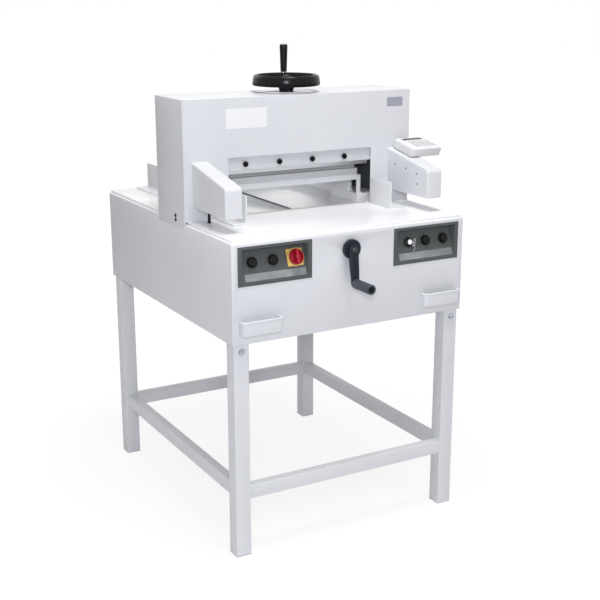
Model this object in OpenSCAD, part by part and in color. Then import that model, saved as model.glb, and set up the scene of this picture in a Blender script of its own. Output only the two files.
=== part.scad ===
// Electric stack paper cutter on a leg stand: hand-wheel clamp, hand-cranked back gauge,
// swing-cut knife and light-barrier arms. Millimetres, +Z up, front of the machine at -Y.

/* [Cutting width] */
// Width of the throat in the front of the housing
throat_w = 478; // [420:1:540]

/* [Cabinet] */
// Distance of the cabinet's side from the throat
cab_margin = 136; // [125:1:160]
// Depth of the cabinet
cab_d = 900; // [860:1:980]
// Height of the cabinet's lower edge above the floor
cab_bottom = 624; // [560:1:700]
// Height of the cabinet panels
cab_h = 273; // [265:1:320]
// Thickness of the cabinet panels
panel_t = 2; // [1.5:0.1:3]
// Width of the flange folded in at the top of each cabinet panel
flange_w = 15; // [12:1:25]

/* [Stand] */
// Outside width of a square leg tube
leg_w = 45; // [40:1:55]
// Wall of the leg and stretcher tubes
tube_wall = 2.5; // [1.5:0.1:4]
// Distance of the legs from the cabinet's faces
leg_inset = 6; // [4:1:15]
// Height of a stretcher tube
stretcher_h = 40; // [30:1:50]
// Width of a stretcher tube
stretcher_w = 28; // [20:1:36]
// Height of the stretchers' lower edge above the floor
stretcher_z = 170; // [100:1:300]
// Height of the foot under each leg
cap_h = 3; // [2:0.5:8]
// Height of the base frame's rails
rail_h = 40; // [30:1:50]
// Length of the base frame's stub inside each leg
stub_len = 64; // [50:1:90]
// Distance of the leg bolt below the cabinet
leg_bolt_drop = 21; // [15:1:35]

/* [Table] */
// Height of the folded table trays
table_t = 11; // [9:0.5:16]
// Distance of the table's edge from the cabinet's faces
table_inset = 5; // [2:1:10]
// Sheet thickness of the table trays
table_sheet = 2.5; // [1.5:0.1:4]
// Distance of the steel bed's edge from the throat
bed_margin = 4.5; // [3:0.5:8]
// Thickness of the steel bed
bed_t = 15; // [12:0.5:20]
// Width of the cutting stick
stick_w = 16; // [12:0.5:16]
// Height of the cutting stick
stick_h = 8; // [5:0.5:10]
// Width of the back gauge's slot in the bed
slot_w = 16; // [10:0.5:18]
// Distance of the slot's middle from the gauge's spindle, to the left
slot_shift = 9; // [0:1:15]
// Width of the tool tray
tray_w = 40; // [30:1:46]
// Length of the tool tray
tray_len = 205; // [150:1:230]
// Depth of the tool tray
tray_depth = 18; // [13:1:24]

/* [Upper housing] */
// Distance of the housing's front from the cabinet's front
hood_setback = 287; // [270:1:320]
// Depth of the housing
hood_d = 190; // [185:1:240]
// Height of the housing above the table
hood_h = 339; // [339:1:400]
// Sheet thickness of the housing
cover_t = 2.5; // [1.5:0.1:3]
// Distance that the housing's sides hang below the table
skirt_drop = 23; // [15:1:60]
// Height of the throat
throat_h = 171; // [160:1:180]

/* [Knife] */
// Height of the knife's edge above the table, raised
knife_lift = 118; // [112:1:122]
// Sideways travel of the knife over a full cut
knife_swing = 36; // [28:1:40]
// Distance that the knife reaches past the throat at each end
blade_over = 23; // [18:0.5:26]
// Thickness of the knife
blade_t = 10; // [8:0.5:11]
// Height of the knife
blade_h = 82; // [70:1:90]
// Height of the knife's bevel
bevel_h = 20; // [12:1:30]
// Thickness of the knife carrier
carrier_t = 16; // [14:0.5:18]
// Height of the knife that shows below its carrier
blade_show = 15; // [10:1:25]
// Spacing of the knife bolts
bolt_pitch = 110; // [90:1:120]
// Radius of a knife bolt's head
bolt_r = 8; // [6:0.5:10]

/* [Clamp] */
// Height of the raised clamp above the table
clamp_gap = 70; // [60:1:74]
// Distance of the clamp's end from the throat
clamp_margin = 27; // [24:1:34]
// Height of the clamp's sole
sole_h = 17; // [8:1:20]
// Height of the clamp's face above its sole
face_h = 19; // [12:1:24]
// Depth of the step above the clamp's face
clamp_step = 16; // [8:1:20]
// Thickness of the clamp's front web
clamp_web = 32; // [28:1:34]
// Radius of the clamp's guide rods
rod_r = 12; // [8:0.5:14]
// Radius of the clamp's spindle
spindle_r = 12; // [9:0.5:13]

/* [Hand wheel] */
// Radius of the hand wheel
wheel_r = 100; // [90:1:120]
// Height of the wheel's rim
rim_h = 31.5; // [24:0.5:36]
// Width of the wheel's rim
rim_w = 18; // [14:1:24]
// Radius of the wheel's hub
wheel_hub_r = 27; // [20:1:34]
// Distance of the rim's lower edge from the housing's top
wheel_lift = 18.5; // [16:0.5:40]
// Distance of the wheel's axis from the housing's front
wheel_setback = 95; // [90:1:100]
// Length of the wheel's turning grip
wheel_grip_len = 81; // [60:1:100]
// Largest radius of the wheel's grip
wheel_grip_r = 12; // [10:0.5:16]

/* [Back gauge] */
// Distance of the back gauge's end from the side lay
gauge_margin = 3; // [2:0.5:20]
// Height of the back gauge's fence
gauge_h = 72; // [50:1:76]
// Thickness of the back gauge's fence
gauge_t = 16; // [12:1:24]
// Distance of the fence from the knife's cut, at rest
gauge_rest = 431; // [400:1:440]
// Shortest distance of the fence from the knife's cut
gauge_near = 39; // [38:1:60]
// Distance of the gauge's spindle from the machine's middle, to the left
gauge_offset = 11; // [0:1:20]
// Depth of the gauge's spindle below the table
gauge_drop = 58; // [56:1:70]
// Radius of the gauge's spindle and guide rods
gauge_r = 8; // [6:0.5:10]

/* [Crank handle] */
// Radius of the crank's hub disc
crank_hub_r = 27; // [20:1:36]
// Length of the crank's arm
crank_len = 93; // [70:1:120]
// Distance that the crank stands out from the cabinet
crank_reach = 110; // [95:1:130]
// Radius of the crank's turning grip
crank_grip_r = 14; // [10:0.5:18]

/* [Guard arms] */
// Distance of an arm's inner face from the throat
arm_margin = 61; // [56:0.5:76]
// Width of an arm
arm_w = 52; // [40:1:55]
// Length of an arm, forwards from the housing
arm_len = 209; // [150:1:240]
// Height of an arm's top above the table, at the housing
arm_back_h = 166; // [140:1:190]
// Height of an arm's top above the table, at its front
arm_front_h = 124; // [100:1:135]
// Height of an arm's underside above the table
arm_lift = 39; // [25:1:60]

/* [Display unit] */
// Width of the display unit
display_w = 107.5; // [80:0.5:130]
// Length of the display unit's top
display_len = 106; // [80:1:130]
// Thickness of the display unit
display_t = 28; // [18:1:36]
// Distance of the display unit from the arm's inner face
display_inset = 15; // [0:1:30]

/* [Paper guides] */
// Height of the angle guides
guide_h = 80; // [50:1:90]
// Thickness of the angle guides
guide_t = 4; // [3:0.5:6]
// Width of the angle guides' feet
guide_foot = 40; // [25:1:45]
// Length of the front guides
front_guide_len = 112; // [80:1:160]
// Height of the side lays beside the clamp
lay_h = 84; // [60:1:90]
// Thickness of the side lays
lay_t = 12; // [8:0.5:12]
// Length of the window in a side lay
lay_window = 46; // [20:1:60]

/* [Controls] */
// Width of a control panel
console_w = 224; // [210:1:230]
// Height of a control panel
console_h = 107; // [95:1:115]
// Distance of a control panel's middle from the cabinet's side
console_inset = 130; // [125:1:140]
// Distance of the control panels below the cabinet's top
console_drop = 7; // [5:1:20]
// Tilt of a control panel's floor, which faces upwards
console_tilt = 19; // [12:1:22]
// Depth of a control panel's recess at its lower edge
console_recess = 1.5; // [1:0.5:4]
// Width of a control panel's rim at its sides
console_side = 12; // [9:0.5:13]
// Width of a control panel's rim at its top and foot
console_rim = 8; // [7:0.5:10]
// Height of the controls above a panel's lower edge
control_lift = 58; // [50:1:66]
// Radius of a push button
button_r = 12; // [10:0.5:14]
// Travel of a push button
button_travel = 4; // [2:0.5:5]

/* [Pull handles] */
// Width of a pull handle
handle_w = 123; // [100:1:150]
// Height of a pull handle
handle_h = 40; // [25:1:50]
// Distance that a pull handle stands out
handle_reach = 25; // [20:1:40]
// Thickness of a pull handle's strip
handle_t = 3; // [2:0.5:4]
// Distance of a pull handle's middle from the cabinet's side
handle_inset = 80.5; // [75:0.5:105]
// Height of the pull handles above the cabinet's lower edge
handle_z = 28; // [10:1:60]

/* [Hidden] */
$fn = 64;

// Colours
WHITE = [0.93, 0.93, 0.94];
PALE = [0.85, 0.86, 0.89];
GREY = [0.3, 0.31, 0.33];
BLACK = [0.07, 0.07, 0.08];
STEEL = [0.62, 0.63, 0.65];
IRON = [0.16, 0.17, 0.18];
BRONZE = [0.7, 0.52, 0.28];

// Clearances
run_gap = 0.05;
seat_gap = 0.3;
slide_gap = 0.2;
knife_gap = 2;

// Cabinet and stand
throat_x = throat_w / 2;
cab_x = throat_x + cab_margin;
cab_y = cab_d / 2;
cab_top = cab_bottom + cab_h;
rail_top = cab_bottom + rail_h;
rail_w = 40;
leg_x = cab_x - leg_inset - leg_w / 2;
leg_y = cab_y - leg_inset - leg_w / 2;
stub_w = leg_w - 2 * tube_wall - 2 * slide_gap;
leg_bolt_r = 5;
leg_bolt_head = 8;
leg_bolt_h = 6;
leg_bolt_z = cab_bottom - leg_bolt_drop;
blade_half = throat_x + blade_over;
pad_reach = 20;
beam_x = blade_half + knife_swing / 2 + pad_reach;
beam_half = 20;
cross_y = [165 - cab_y, 235 - cab_y];
cross_w = 30;
inlet_x = beam_x - 80;

// Table and bed
table_z = cab_top + table_t;
table_x = cab_x - table_inset;
table_y = cab_y - table_inset;
bed_x = throat_x + bed_margin;
stick_x = bed_x - 4.5;
bed_bottom = table_z - bed_t;

// Housing, and the layers from its front towards the back
hood_front = -cab_y + hood_setback;
hood_back = hood_front + hood_d;
hood_x = cab_x + cover_t;
hood_top = table_z + hood_h;
hood_inside = hood_front + cover_t;
carrier_front = hood_inside + 3.5;
carrier_back = carrier_front + carrier_t;
cut_y = carrier_back + blade_t;
frame_front = cut_y + knife_gap;
stick_front = cut_y - stick_w + 1;

// Main frame
upright_t = 24;
upright_back = hood_back - cover_t - 10;
frame_h = 222;
cross_z = table_z + frame_h;
cross_h = 35;
cross_back = hood_front + 136;
bed_beam_h = 25;
bed_beam_w = 30;
rear_beam_y = cab_y - 45;
rear_beam_w = 35;

// Knife
knife_drop = knife_lift - seat_gap;
knife_path = sqrt(knife_drop * knife_drop + knife_swing * knife_swing);
knife_tilt = atan(knife_swing / knife_drop);
blade_mid = -knife_swing / 2;
edge_z = table_z + knife_lift;
carrier_z = edge_z + blade_show;
carrier_top = hood_top - cover_t - 5;
carrier_half = beam_x + 43;
shank_r = bolt_r - 2;
bolt_z = carrier_z + 16.5;
slide_w = 20;
slide_len = 50;
slide_z = table_z + 167;
knife_pin_r = 8;
knife_pin_x = -beam_x - 40;
knife_pin_z = slide_z - 10;
rod_w = 24;
eye_r = 18;
throw_r = knife_path / 2;
drive_len = 335;
drive_x = knife_pin_x + drive_len * sin(knife_tilt);
drive_z = knife_pin_z - drive_len * cos(knife_tilt);
disc_r = 76;
disc_t = 12;
disc_back = carrier_back - 4;
drive_shaft_r = 15;
gearbox_w = 140;
gearbox_d = 135;
gearbox_rise = 72;
gearbox_back = disc_back - disc_t - 8;
motor_r = 52;
motor_len = 175;
motor_flange = 12;
fan_len = 30;
fin_gap = 20;
fin_h = 8;
fin_w = 3;

// Electrical box
box_w = 180;
box_x = beam_x - 150;
box_h = 120;
box_front = cross_y[0] - 100;
box_back = cross_y[1] + 15;
lid_over = 3;
lid_t = 4;

// Clamp and hand wheel
sole_z = table_z + clamp_gap;
clamp_z = sole_z + sole_h;
deck_h = 40;
deck_lift = 190;
deck_top = table_z + deck_lift;
wheel_y = hood_front + wheel_setback;
clamp_front = frame_front;
clamp_web_back = clamp_front + clamp_web;
deck_back = wheel_y + 33;
clamp_half = throat_x - clamp_margin;
clamp_face = clamp_z + face_h;
clamp_rod_x = clamp_half - 73;
deck_x = clamp_half - 33;
nut_h = 20;
nut_r = 22;
lay_x = clamp_half + 2;
lay_foot_h = 26;
lay_post = 5;
lay_lintel = 17;
bush_r = spindle_r + 7;
bush_flange = 2;
rim_z = hood_top + wheel_lift;
rim_mid = wheel_r - rim_w / 2;
hub_z = hood_top + 4;
hub_top = rim_z + rim_h - 7;
hub_cone = 14;
grip_angle = 66;
grip_x = rim_mid * cos(grip_angle);
grip_y = wheel_y + rim_mid * sin(grip_angle);
grip_z = rim_z + rim_h + 2;
grip_pin_r = 5;

// Back gauge and crank
gauge_x = -gauge_offset;
slot_x = gauge_x - slot_shift;
gauge_z = table_z - gauge_drop;
fence_x = lay_x - gauge_margin;
fence_y = cut_y + gauge_rest;
fence_z = table_z + seat_gap;
gauge_near_y = cut_y + gauge_near;
neck_w = slot_w - 2;
carriage_y = fence_y + gauge_t + 2;
carriage_d = 34;
carriage_x = 75;
carriage_h = 32;
gauge_rod_x = 55;
front_bearing_y = frame_front + 7;
bearing_d = 20;
crank_front = -cab_y - crank_reach;
crank_y = -cab_y - 3;
crank_hub_t = 9;
crank_arm_t = 8;
crank_lean = 12;
crank_foot_y = crank_y - crank_hub_t - crank_lean;
crank_grip_z = gauge_z - crank_len;

// Arms, display and guides
arm_x = throat_x + arm_margin;
arm_front = hood_front - arm_len;
arm_z = table_z + arm_lift;
arm_wall = 2;
arm_slope = (arm_back_h - arm_front_h) / arm_len;
arm_cut = 13;
post_r = 3;
post_x = arm_x + 19;
post_y = hood_front - 36;
lens_r = 2.8;
lenses = [[43, 122], [98, 115], [153, 106], [157, 76]];
display_x = arm_x + display_inset;
guide_x = throat_x - 0.5;

// Controls
console_x = cab_x - console_inset;
handle_x = cab_x - handle_inset;
console_z = cab_top - console_drop - console_h;
console_lip = 4;
console_front = -cab_y - 1.5;
console_foot = -cab_y + console_recess;
console_low = console_z + console_rim;
console_high = console_z + console_h - console_rim;
console_wall = 3;
control_z = console_z + control_lift;
control_y = floor_y(control_z);
button_x = [-console_x - 61, -console_x + 2, console_x + 9, console_x + 71];
switch_x = 68 - console_x;
lock_x = console_x - 50;
collar_h = 6;
collar_t = 2.25;
stem_r = 6;
knob_r = 21.5;
plate_half = 24;
plate_t = 2.5;
lock_r = 8.5;
lock_h = 11;
lock_collar_h = 4;
lock_collar_t = 6;
plug_r = 4.5;
key_t = 1.6;
bow_r = 10;
bow_hole_r = 5;
bow_out = -lock_h - 16;
bow_hole_out = bow_out - 3;
hang_y = control_y + bow_hole_out * cos(console_tilt);
hang_z = control_z - bow_hole_out * sin(console_tilt);
ring_wire = 0.8;
ring_r = 5;
ring_top = ring_wire + seat_gap - bow_hole_r;

// Origin on the floor, in the middle of the whole machine
right_reach = display_x + display_w;
mid_x = (right_reach - hood_x) / 2;
mid_y = (cab_y + crank_front) / 2;

// A box between two limits on each axis
module block(x, y, z) {
    translate([x[0], y[0], z[0]]) cube([x[1] - x[0], y[1] - y[0], z[1] - z[0]]);
}

// A round bar along Y
module bar_y(x, z, y, r) {
    translate([x, y[0], z]) rotate([-90, 0, 0]) cylinder(r = r, h = y[1] - y[0]);
}

// A round bar along Z
module bar_z(x, y, z, r) {
    translate([x, y, z[0]]) cylinder(r = r, h = z[1] - z[0]);
}

// Both sides of the machine, from the right-hand one
module both_sides() {
    children();
    mirror([1, 0, 0]) children();
}

// The four corners of the stand
module corners() {
    for (sx = [-1, 1], sy = [-1, 1]) translate([sx * leg_x, sy * leg_y, 0]) children();
}

// An outline in the XZ plane, given a thickness along Y
module plate_y(y) {
    translate([0, y[1], 0]) rotate([90, 0, 0]) linear_extrude(y[1] - y[0]) children();
}

// An outline in the YZ plane, given a thickness along X
module plate_x(x) {
    translate([x[0], 0, 0]) rotate([90, 0, 90]) linear_extrude(x[1] - x[0]) children();
}

// A hollow tube of rectangular section along Z, closed at neither end
module tube_z(w, d, z, wall) {
    difference() {
        block([-w / 2, w / 2], [-d / 2, d / 2], z);
        block([wall - w / 2, w / 2 - wall], [wall - d / 2, d / 2 - wall], [z[0] - 1, z[1] + 1]);
    }
}

module legs() {
    color(WHITE) difference() {
        corners() tube_z(leg_w, leg_w, [cap_h, cab_bottom], tube_wall);
        leg_bolt_holes();
    }
}

module leg_bolt_holes() {
    for (sx = [-1, 1], sy = [-1, 1])
        bar_y(sx * leg_x, leg_bolt_z, sy > 0 ? [leg_y, cab_y] : [-cab_y, -leg_y], leg_bolt_r + slide_gap);
}

// One stretcher tube along X from x[0] to x[1], with its front face at y
module stretcher_x(x, y) {
    z = [stretcher_z, stretcher_z + stretcher_h];
    difference() {
        block(x, [y, y + stretcher_w], z);
        block([x[0] - 1, x[1] + 1], [y + tube_wall, y + stretcher_w - tube_wall],
            [z[0] + tube_wall, z[1] - tube_wall]);
    }
}

module stretchers() {
    inner_x = leg_x - leg_w / 2;
    inner_y = leg_y - leg_w / 2;
    color(WHITE) {
        stretcher_x([-inner_x, inner_x], inner_y);
        stretcher_x([-inner_x, inner_x], -inner_y - leg_w);
        both_sides() rotate(90) stretcher_x([-inner_y, inner_y], -leg_x - stretcher_w / 2);
    }
}

module leg_caps() {
    plug = leg_w - 2 * tube_wall - 2 * slide_gap;
    color(PALE) corners() {
        block([-leg_w / 2, leg_w / 2], [-leg_w / 2, leg_w / 2], [0, cap_h]);
        block([-plug / 2, plug / 2], [-plug / 2, plug / 2], [cap_h, cap_h + 20]);
    }
}

module leg_bolts() {
    face = cab_y - leg_inset;
    color(STEEL) for (sx = [-1, 1], sy = [-1, 1]) {
        shank = sy > 0 ? [leg_y + 6, face] : [-face, -leg_y - 6];
        head = sy > 0 ? [face, face + leg_bolt_h] : [-face - leg_bolt_h, -face];
        bar_y(sx * leg_x, leg_bolt_z, shank, leg_bolt_r);
        bar_y(sx * leg_x, leg_bolt_z, head, leg_bolt_head, $fn = 6);
    }
}

module base_frame() {
    x = cab_x - panel_t;
    y = cab_y - panel_t;
    z = [cab_bottom, rail_top];
    color(GREY) difference() {
        union() {
            both_sides() {
                block([x - rail_w, x], [-y, y], z);
                block([beam_x - beam_half, beam_x + beam_half], [-y, y], z);
            }
            block([-x, x], [-y, rail_w - y], z);
            block([-x, x], [y - rail_w, y], z);
            for (cy = cross_y) block([-x, x], [cy - cross_w / 2, cy + cross_w / 2], z);
            corners() block([-stub_w / 2, stub_w / 2], [-stub_w / 2, stub_w / 2],
                [cab_bottom - stub_len, cab_bottom]);
        }
        leg_bolt_holes();
    }
}

// The hole for a control panel on the right-hand side of the cabinet's front
module console_hole() {
    w = console_w / 2 - console_lip;
    block([console_x - w, console_x + w], [-cab_y - 1, -cab_y + panel_t + 1],
        [console_z + console_lip, console_z + console_h - console_lip]);
}

module cabinet_front() {
    color(PALE) difference() {
        union() {
            block([-cab_x, cab_x], [-cab_y, -cab_y + panel_t], [cab_bottom, cab_top]);
            block([panel_t - cab_x, cab_x - panel_t], [-cab_y, -cab_y + flange_w],
                [cab_top - panel_t, cab_top]);
        }
        both_sides() console_hole();
        bar_y(gauge_x, gauge_z, [-cab_y - 1, -cab_y + panel_t + 1], 2 * gauge_r);
    }
}

module cabinet_sides() {
    y = cab_y - panel_t;
    color(PALE) both_sides() {
        block([cab_x - panel_t, cab_x], [-y, y], [cab_bottom, cab_top]);
        block([cab_x - flange_w, cab_x], [flange_w - cab_y, cab_y - flange_w],
            [cab_top - panel_t, cab_top]);
    }
}

module cabinet_rear() {
    vent_x = 150;
    vent_half = 60;
    color(PALE) difference() {
        union() {
            block([-cab_x, cab_x], [cab_y - panel_t, cab_y], [cab_bottom, cab_top]);
            block([panel_t - cab_x, cab_x - panel_t], [cab_y - flange_w, cab_y],
                [cab_top - panel_t, cab_top]);
        }
        inlet_hole();
        block([-bed_x - 1, bed_x + 1], [cab_y - flange_w - 1, cab_y - panel_t],
            [cab_top - panel_t - 1, cab_top + 1]);
        for (row = [0 : 5], side = [-1, 1])
            block([side * vent_x - vent_half, side * vent_x + vent_half], [cab_y - panel_t - 1, cab_y + 1],
                [cab_top - 110 + row * 14, cab_top - 104 + row * 14]);
    }
}

// The opening for the mains inlet in the cabinet's back
module inlet_hole() {
    block([inlet_x - 24, inlet_x + 24], [cab_y - panel_t - 1, cab_y + 1], [rail_top + 30, rail_top + 58]);
}

module power_inlet() {
    mid = inlet_x;
    z = rail_top + 44;
    inside = cab_y - panel_t;
    color(BLACK) difference() {
        union() {
            block([mid - 24 + slide_gap, mid + 24 - slide_gap], [inside - 25, cab_y],
                [z - 14 + slide_gap, z + 14 - slide_gap]);
            block([mid - 32, mid + 32], [inside - 4, inside], [z - 20, z + 20]);
        }
        block([mid - 17, mid + 17], [inside - 18, cab_y + 1], [z - 10, z + 10]);
    }
}

// A folded tray: a sheet on top with an edge all round, open below
module folded_tray(x, y) {
    difference() {
        block(x, y, [cab_top, table_z]);
        block([x[0] + table_sheet, x[1] - table_sheet], [y[0] + table_sheet, y[1] - table_sheet],
            [cab_top - 1, table_z - table_sheet]);
    }
}

module table_front() {
    edge = cab_x - flange_w - table_sheet - 0.5;
    tray_x = [edge - tray_w, edge];
    tray_y = [hood_front - tray_len - 2, hood_front - 2];
    color(WHITE) difference() {
        union() {
            folded_tray([-table_x, table_x], [-table_y, stick_front]);
            block([tray_x[0] - table_sheet, tray_x[1] + table_sheet],
                [tray_y[0] - table_sheet, tray_y[1] + table_sheet],
                [table_z - tray_depth - table_sheet, table_z]);
        }
        block(tray_x, tray_y, [table_z - tray_depth, table_z + 1]);
    }
}

// The side table on the right, with a hole for the upright
module side_table() {
    gap = 1;
    difference() {
        folded_tray([bed_x, table_x], [stick_front, table_y]);
        block([beam_x - upright_t / 2 - gap, beam_x + upright_t / 2 + gap],
            [frame_front - gap, upright_back + gap], [cab_top - 1, table_z + 1]);
        block([bed_x + 15, beam_x + upright_t / 2 + gap], [stick_front - 1, frame_front],
            [cab_top - 1, table_z + 1]);
    }
}

module side_tables() {
    color(WHITE) both_sides() side_table();
}

module bed() {
    color(STEEL) difference() {
        block([-bed_x, bed_x], [stick_front, table_y], [bed_bottom, table_z]);
        block([-bed_x - 1, bed_x + 1], [stick_front - 1, stick_front + stick_w],
            [table_z - stick_h, table_z + 1]);
        block([slot_x - slot_w / 2, slot_x + slot_w / 2],
            [stick_front + stick_w + 4, rear_beam_y - 4], [bed_bottom - 1, table_z + 1]);
    }
}

module cutting_stick() {
    color([0.75, 0.7, 0.72])
        block([-stick_x, stick_x], [stick_front, stick_front + stick_w], [table_z - stick_h, table_z]);
}

module bed_beams() {
    side = beam_x - upright_t / 2;
    y = [rear_beam_y, rear_beam_y + rear_beam_w];
    z = [bed_bottom - bed_beam_h, bed_bottom];
    color(IRON) {
        block([-side, side], [frame_front + 2, frame_front + 2 + bed_beam_w], z);
        block([-beam_x - beam_half, beam_x + beam_half], y, z);
        both_sides() block([beam_x - beam_half, beam_x + beam_half], y, [rail_top, z[0]]);
    }
}

module uprights() {
    color(IRON) both_sides()
        block([beam_x - upright_t / 2, beam_x + upright_t / 2], [frame_front, upright_back],
            [rail_top, cross_z]);
}

module crossbeam() {
    x = beam_x + upright_t / 2;
    z = [cross_z - 1, cross_z + cross_h + 1];
    color(IRON) difference() {
        block([-x, x], [frame_front + 2, cross_back], [cross_z, cross_z + cross_h]);
        bar_z(0, wheel_y, z, spindle_r + run_gap);
        for (s = [-1, 1]) bar_z(s * clamp_rod_x, wheel_y, z, rod_r + run_gap);
    }
}

module upper_cover() {
    color(PALE) difference() {
        union() {
            block([-hood_x, hood_x], [hood_front, hood_inside], [table_z, hood_top]);
            block([-hood_x, hood_x], [hood_front, hood_back], [hood_top - cover_t, hood_top]);
            both_sides() block([cab_x, hood_x], [hood_front, hood_back], [table_z - skirt_drop, hood_top]);
        }
        block([-throat_x, throat_x], [hood_front - 1, hood_inside + 1], [table_z - 1, table_z + throat_h]);
        bar_z(0, wheel_y, [hood_top - cover_t - 1, hood_top + 1], bush_r);
    }
}

module rear_cover() {
    rear_throat_h = 92;
    vent_x = 200;
    vent_half = 70;
    color(PALE) difference() {
        block([-cab_x, cab_x], [hood_back - cover_t, hood_back], [table_z, hood_top - cover_t]);
        block([-bed_x, bed_x], [hood_back - cover_t - 1, hood_back + 1],
            [table_z - 1, table_z + rear_throat_h]);
        for (row = [0 : 4], side = [-1, 1])
            block([side * vent_x - vent_half, side * vent_x + vent_half],
                [hood_back - cover_t - 1, hood_back + 1],
                [hood_top - 90 + row * 14, hood_top - 84 + row * 14]);
    }
}

// The outline of a slot or block that lies along the knife's path, in the XZ plane
module along_path(x, z, w, len) {
    translate([x, z]) rotate(knife_tilt) square([w, len], center = true);
}

module knife_guides() {
    pad_x = [beam_x - pad_reach + 5, beam_x + upright_t / 2];
    color(BRONZE) for (s = [-1, 1]) {
        block(s > 0 ? pad_x : [-pad_x[1], -pad_x[0]], [carrier_back + slide_gap, frame_front],
            [slide_z - 25, slide_z + 25]);
        plate_y([carrier_front - slide_gap, carrier_back + slide_gap])
            along_path(s * beam_x, slide_z, slide_w, slide_len);
        plate_y([hood_inside + seat_gap, carrier_front - slide_gap])
            along_path(s * beam_x, slide_z, slide_w + 14, slide_len + 14);
    }
}

// The outline of the carrier, with the two slanted slots that run on the guides
module carrier_outline() {
    difference() {
        translate([blade_mid - carrier_half, carrier_z])
            square([2 * carrier_half, carrier_top - carrier_z]);
        for (s = [-1, 1])
            along_path(s * beam_x - knife_swing / 2, slide_z + knife_drop / 2,
                slide_w + 2 * slide_gap, slide_len + knife_path + 2 * slide_gap);
        for (i = [-1.5 : 1.5])
            translate([blade_mid + i * bolt_pitch, bolt_z]) circle(r = shank_r + slide_gap);
    }
}

module knife_carrier() {
    color(STEEL) {
        plate_y([carrier_front, carrier_back]) carrier_outline();
        bar_y(knife_pin_x, knife_pin_z, [carrier_back, cut_y], knife_pin_r);
    }
}

module knife_blade() {
    x = [blade_mid - blade_half, blade_mid + blade_half];
    color(STEEL) difference() {
        plate_x(x) polygon([[cut_y, edge_z], [cut_y, edge_z + blade_h],
            [carrier_back, edge_z + blade_h], [carrier_back, edge_z + bevel_h]]);
        for (i = [-1.5 : 1.5])
            bar_y(blade_mid + i * bolt_pitch, bolt_z, [carrier_back - 1, cut_y + 1], shank_r + slide_gap);
    }
}

module knife_bolts() {
    head = 5;
    color(BLACK) for (i = [-1.5 : 1.5]) {
        bar_y(blade_mid + i * bolt_pitch, bolt_z, [carrier_front, cut_y - 1], shank_r);
        bar_y(blade_mid + i * bolt_pitch, bolt_z, [carrier_front - head, carrier_front], bolt_r);
    }
}

// The outline of the rod from the knife's carrier down to the crank pin, in the XZ plane
module pull_rod_outline() {
    len = drive_len - throw_r;
    translate([knife_pin_x, knife_pin_z]) rotate(knife_tilt) difference() {
        union() {
            circle(r = eye_r);
            translate([-rod_w / 2, -len]) square([rod_w, len]);
            translate([0, -len]) circle(r = eye_r);
        }
        circle(r = knife_pin_r + run_gap);
        translate([0, -len]) circle(r = knife_pin_r + 2);
    }
}

module pull_rod() {
    color(IRON) plate_y([carrier_back + 0.5, cut_y]) pull_rod_outline();
}

module crank_disc() {
    pin = [drive_x - throw_r * sin(knife_tilt), drive_z + throw_r * cos(knife_tilt)];
    color(IRON) {
        bar_y(drive_x, drive_z, [disc_back - disc_t, disc_back], disc_r);
        bar_y(pin[0], pin[1], [disc_back, carrier_back - 0.5], knife_pin_r);
        bar_y(drive_x, drive_z, [gearbox_back - gearbox_d + 15, disc_back - disc_t], drive_shaft_r);
    }
}

module knife_gearbox() {
    color(GREY) difference() {
        block([drive_x - gearbox_w / 2, drive_x + gearbox_w / 2], [gearbox_back - gearbox_d, gearbox_back],
            [rail_top, drive_z + gearbox_rise]);
        bar_y(drive_x, drive_z, [gearbox_back - gearbox_d + 14, gearbox_back + 1], drive_shaft_r + run_gap);
    }
}

module knife_motor() {
    x = drive_x + gearbox_w / 2;
    y = gearbox_back - gearbox_d / 2;
    fin_len = motor_len - 3 * fin_gap;
    color(GREY) translate([x, y, rail_top + motor_r + motor_flange + 2]) rotate([0, 90, 0]) {
        cylinder(r = motor_r + fin_h, h = motor_flange);
        translate([0, 0, motor_flange]) cylinder(r = motor_r, h = motor_len - motor_flange);
        for (a = [0 : 30 : 330]) rotate(a)
            translate([motor_r - 2, -fin_w / 2, fin_gap]) cube([fin_h, fin_w, fin_len]);
        translate([0, 0, motor_len]) cylinder(r = motor_r + fin_h / 2, h = fan_len);
    }
}

module electrical_box() {
    color(PALE) {
        block([box_x, box_x + box_w], [box_front, box_back], [rail_top, rail_top + box_h]);
        block([box_x - lid_over, box_x + box_w + lid_over], [box_front - lid_over, box_back + lid_over],
            [rail_top + box_h, rail_top + box_h + lid_t]);
    }
}

module side_lay() {
    far = beam_x - upright_t / 2;
    front = frame_front + 2;
    fillet = 10;
    difference() {
        plate_y([front, hood_back - cover_t]) difference() {
            translate([lay_x, table_z]) union() {
                square([lay_t, lay_h]);
                square([far - lay_x, lay_foot_h]);
                translate([lay_t, lay_foot_h]) square(fillet);
            }
            translate([lay_x + lay_t + fillet, table_z + lay_foot_h + fillet]) circle(r = fillet);
        }
        block([lay_x - 1, lay_x + lay_t + fillet + 1], [front + lay_post, front + lay_post + lay_window],
            [table_z + lay_foot_h, table_z + lay_h - lay_lintel]);
    }
}

module side_lays() {
    color(PALE) both_sides() side_lay();
}

module clamp_beam() {
    color(STEEL) difference() {
        union() {
            block([-clamp_half, clamp_half], [clamp_front, clamp_web_back], [clamp_z, clamp_face]);
            block([-clamp_half, clamp_half], [clamp_front + clamp_step, clamp_web_back],
                [clamp_face, deck_top]);
            block([-deck_x, deck_x], [clamp_web_back, deck_back], [deck_top - deck_h, deck_top]);
        }
        bar_z(0, wheel_y, [deck_top - deck_h - 1, deck_top + 1], spindle_r + 1);
    }
}

module clamp_sole() {
    color(PALE)
        block([-clamp_half, clamp_half], [clamp_front, clamp_web_back + 2], [sole_z, clamp_z]);
}

module clamp_rods() {
    top = cross_z + cross_h + clamp_gap + 3;
    color(STEEL) for (s = [-1, 1]) bar_z(s * clamp_rod_x, wheel_y, [deck_top, top], rod_r);
}

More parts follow.
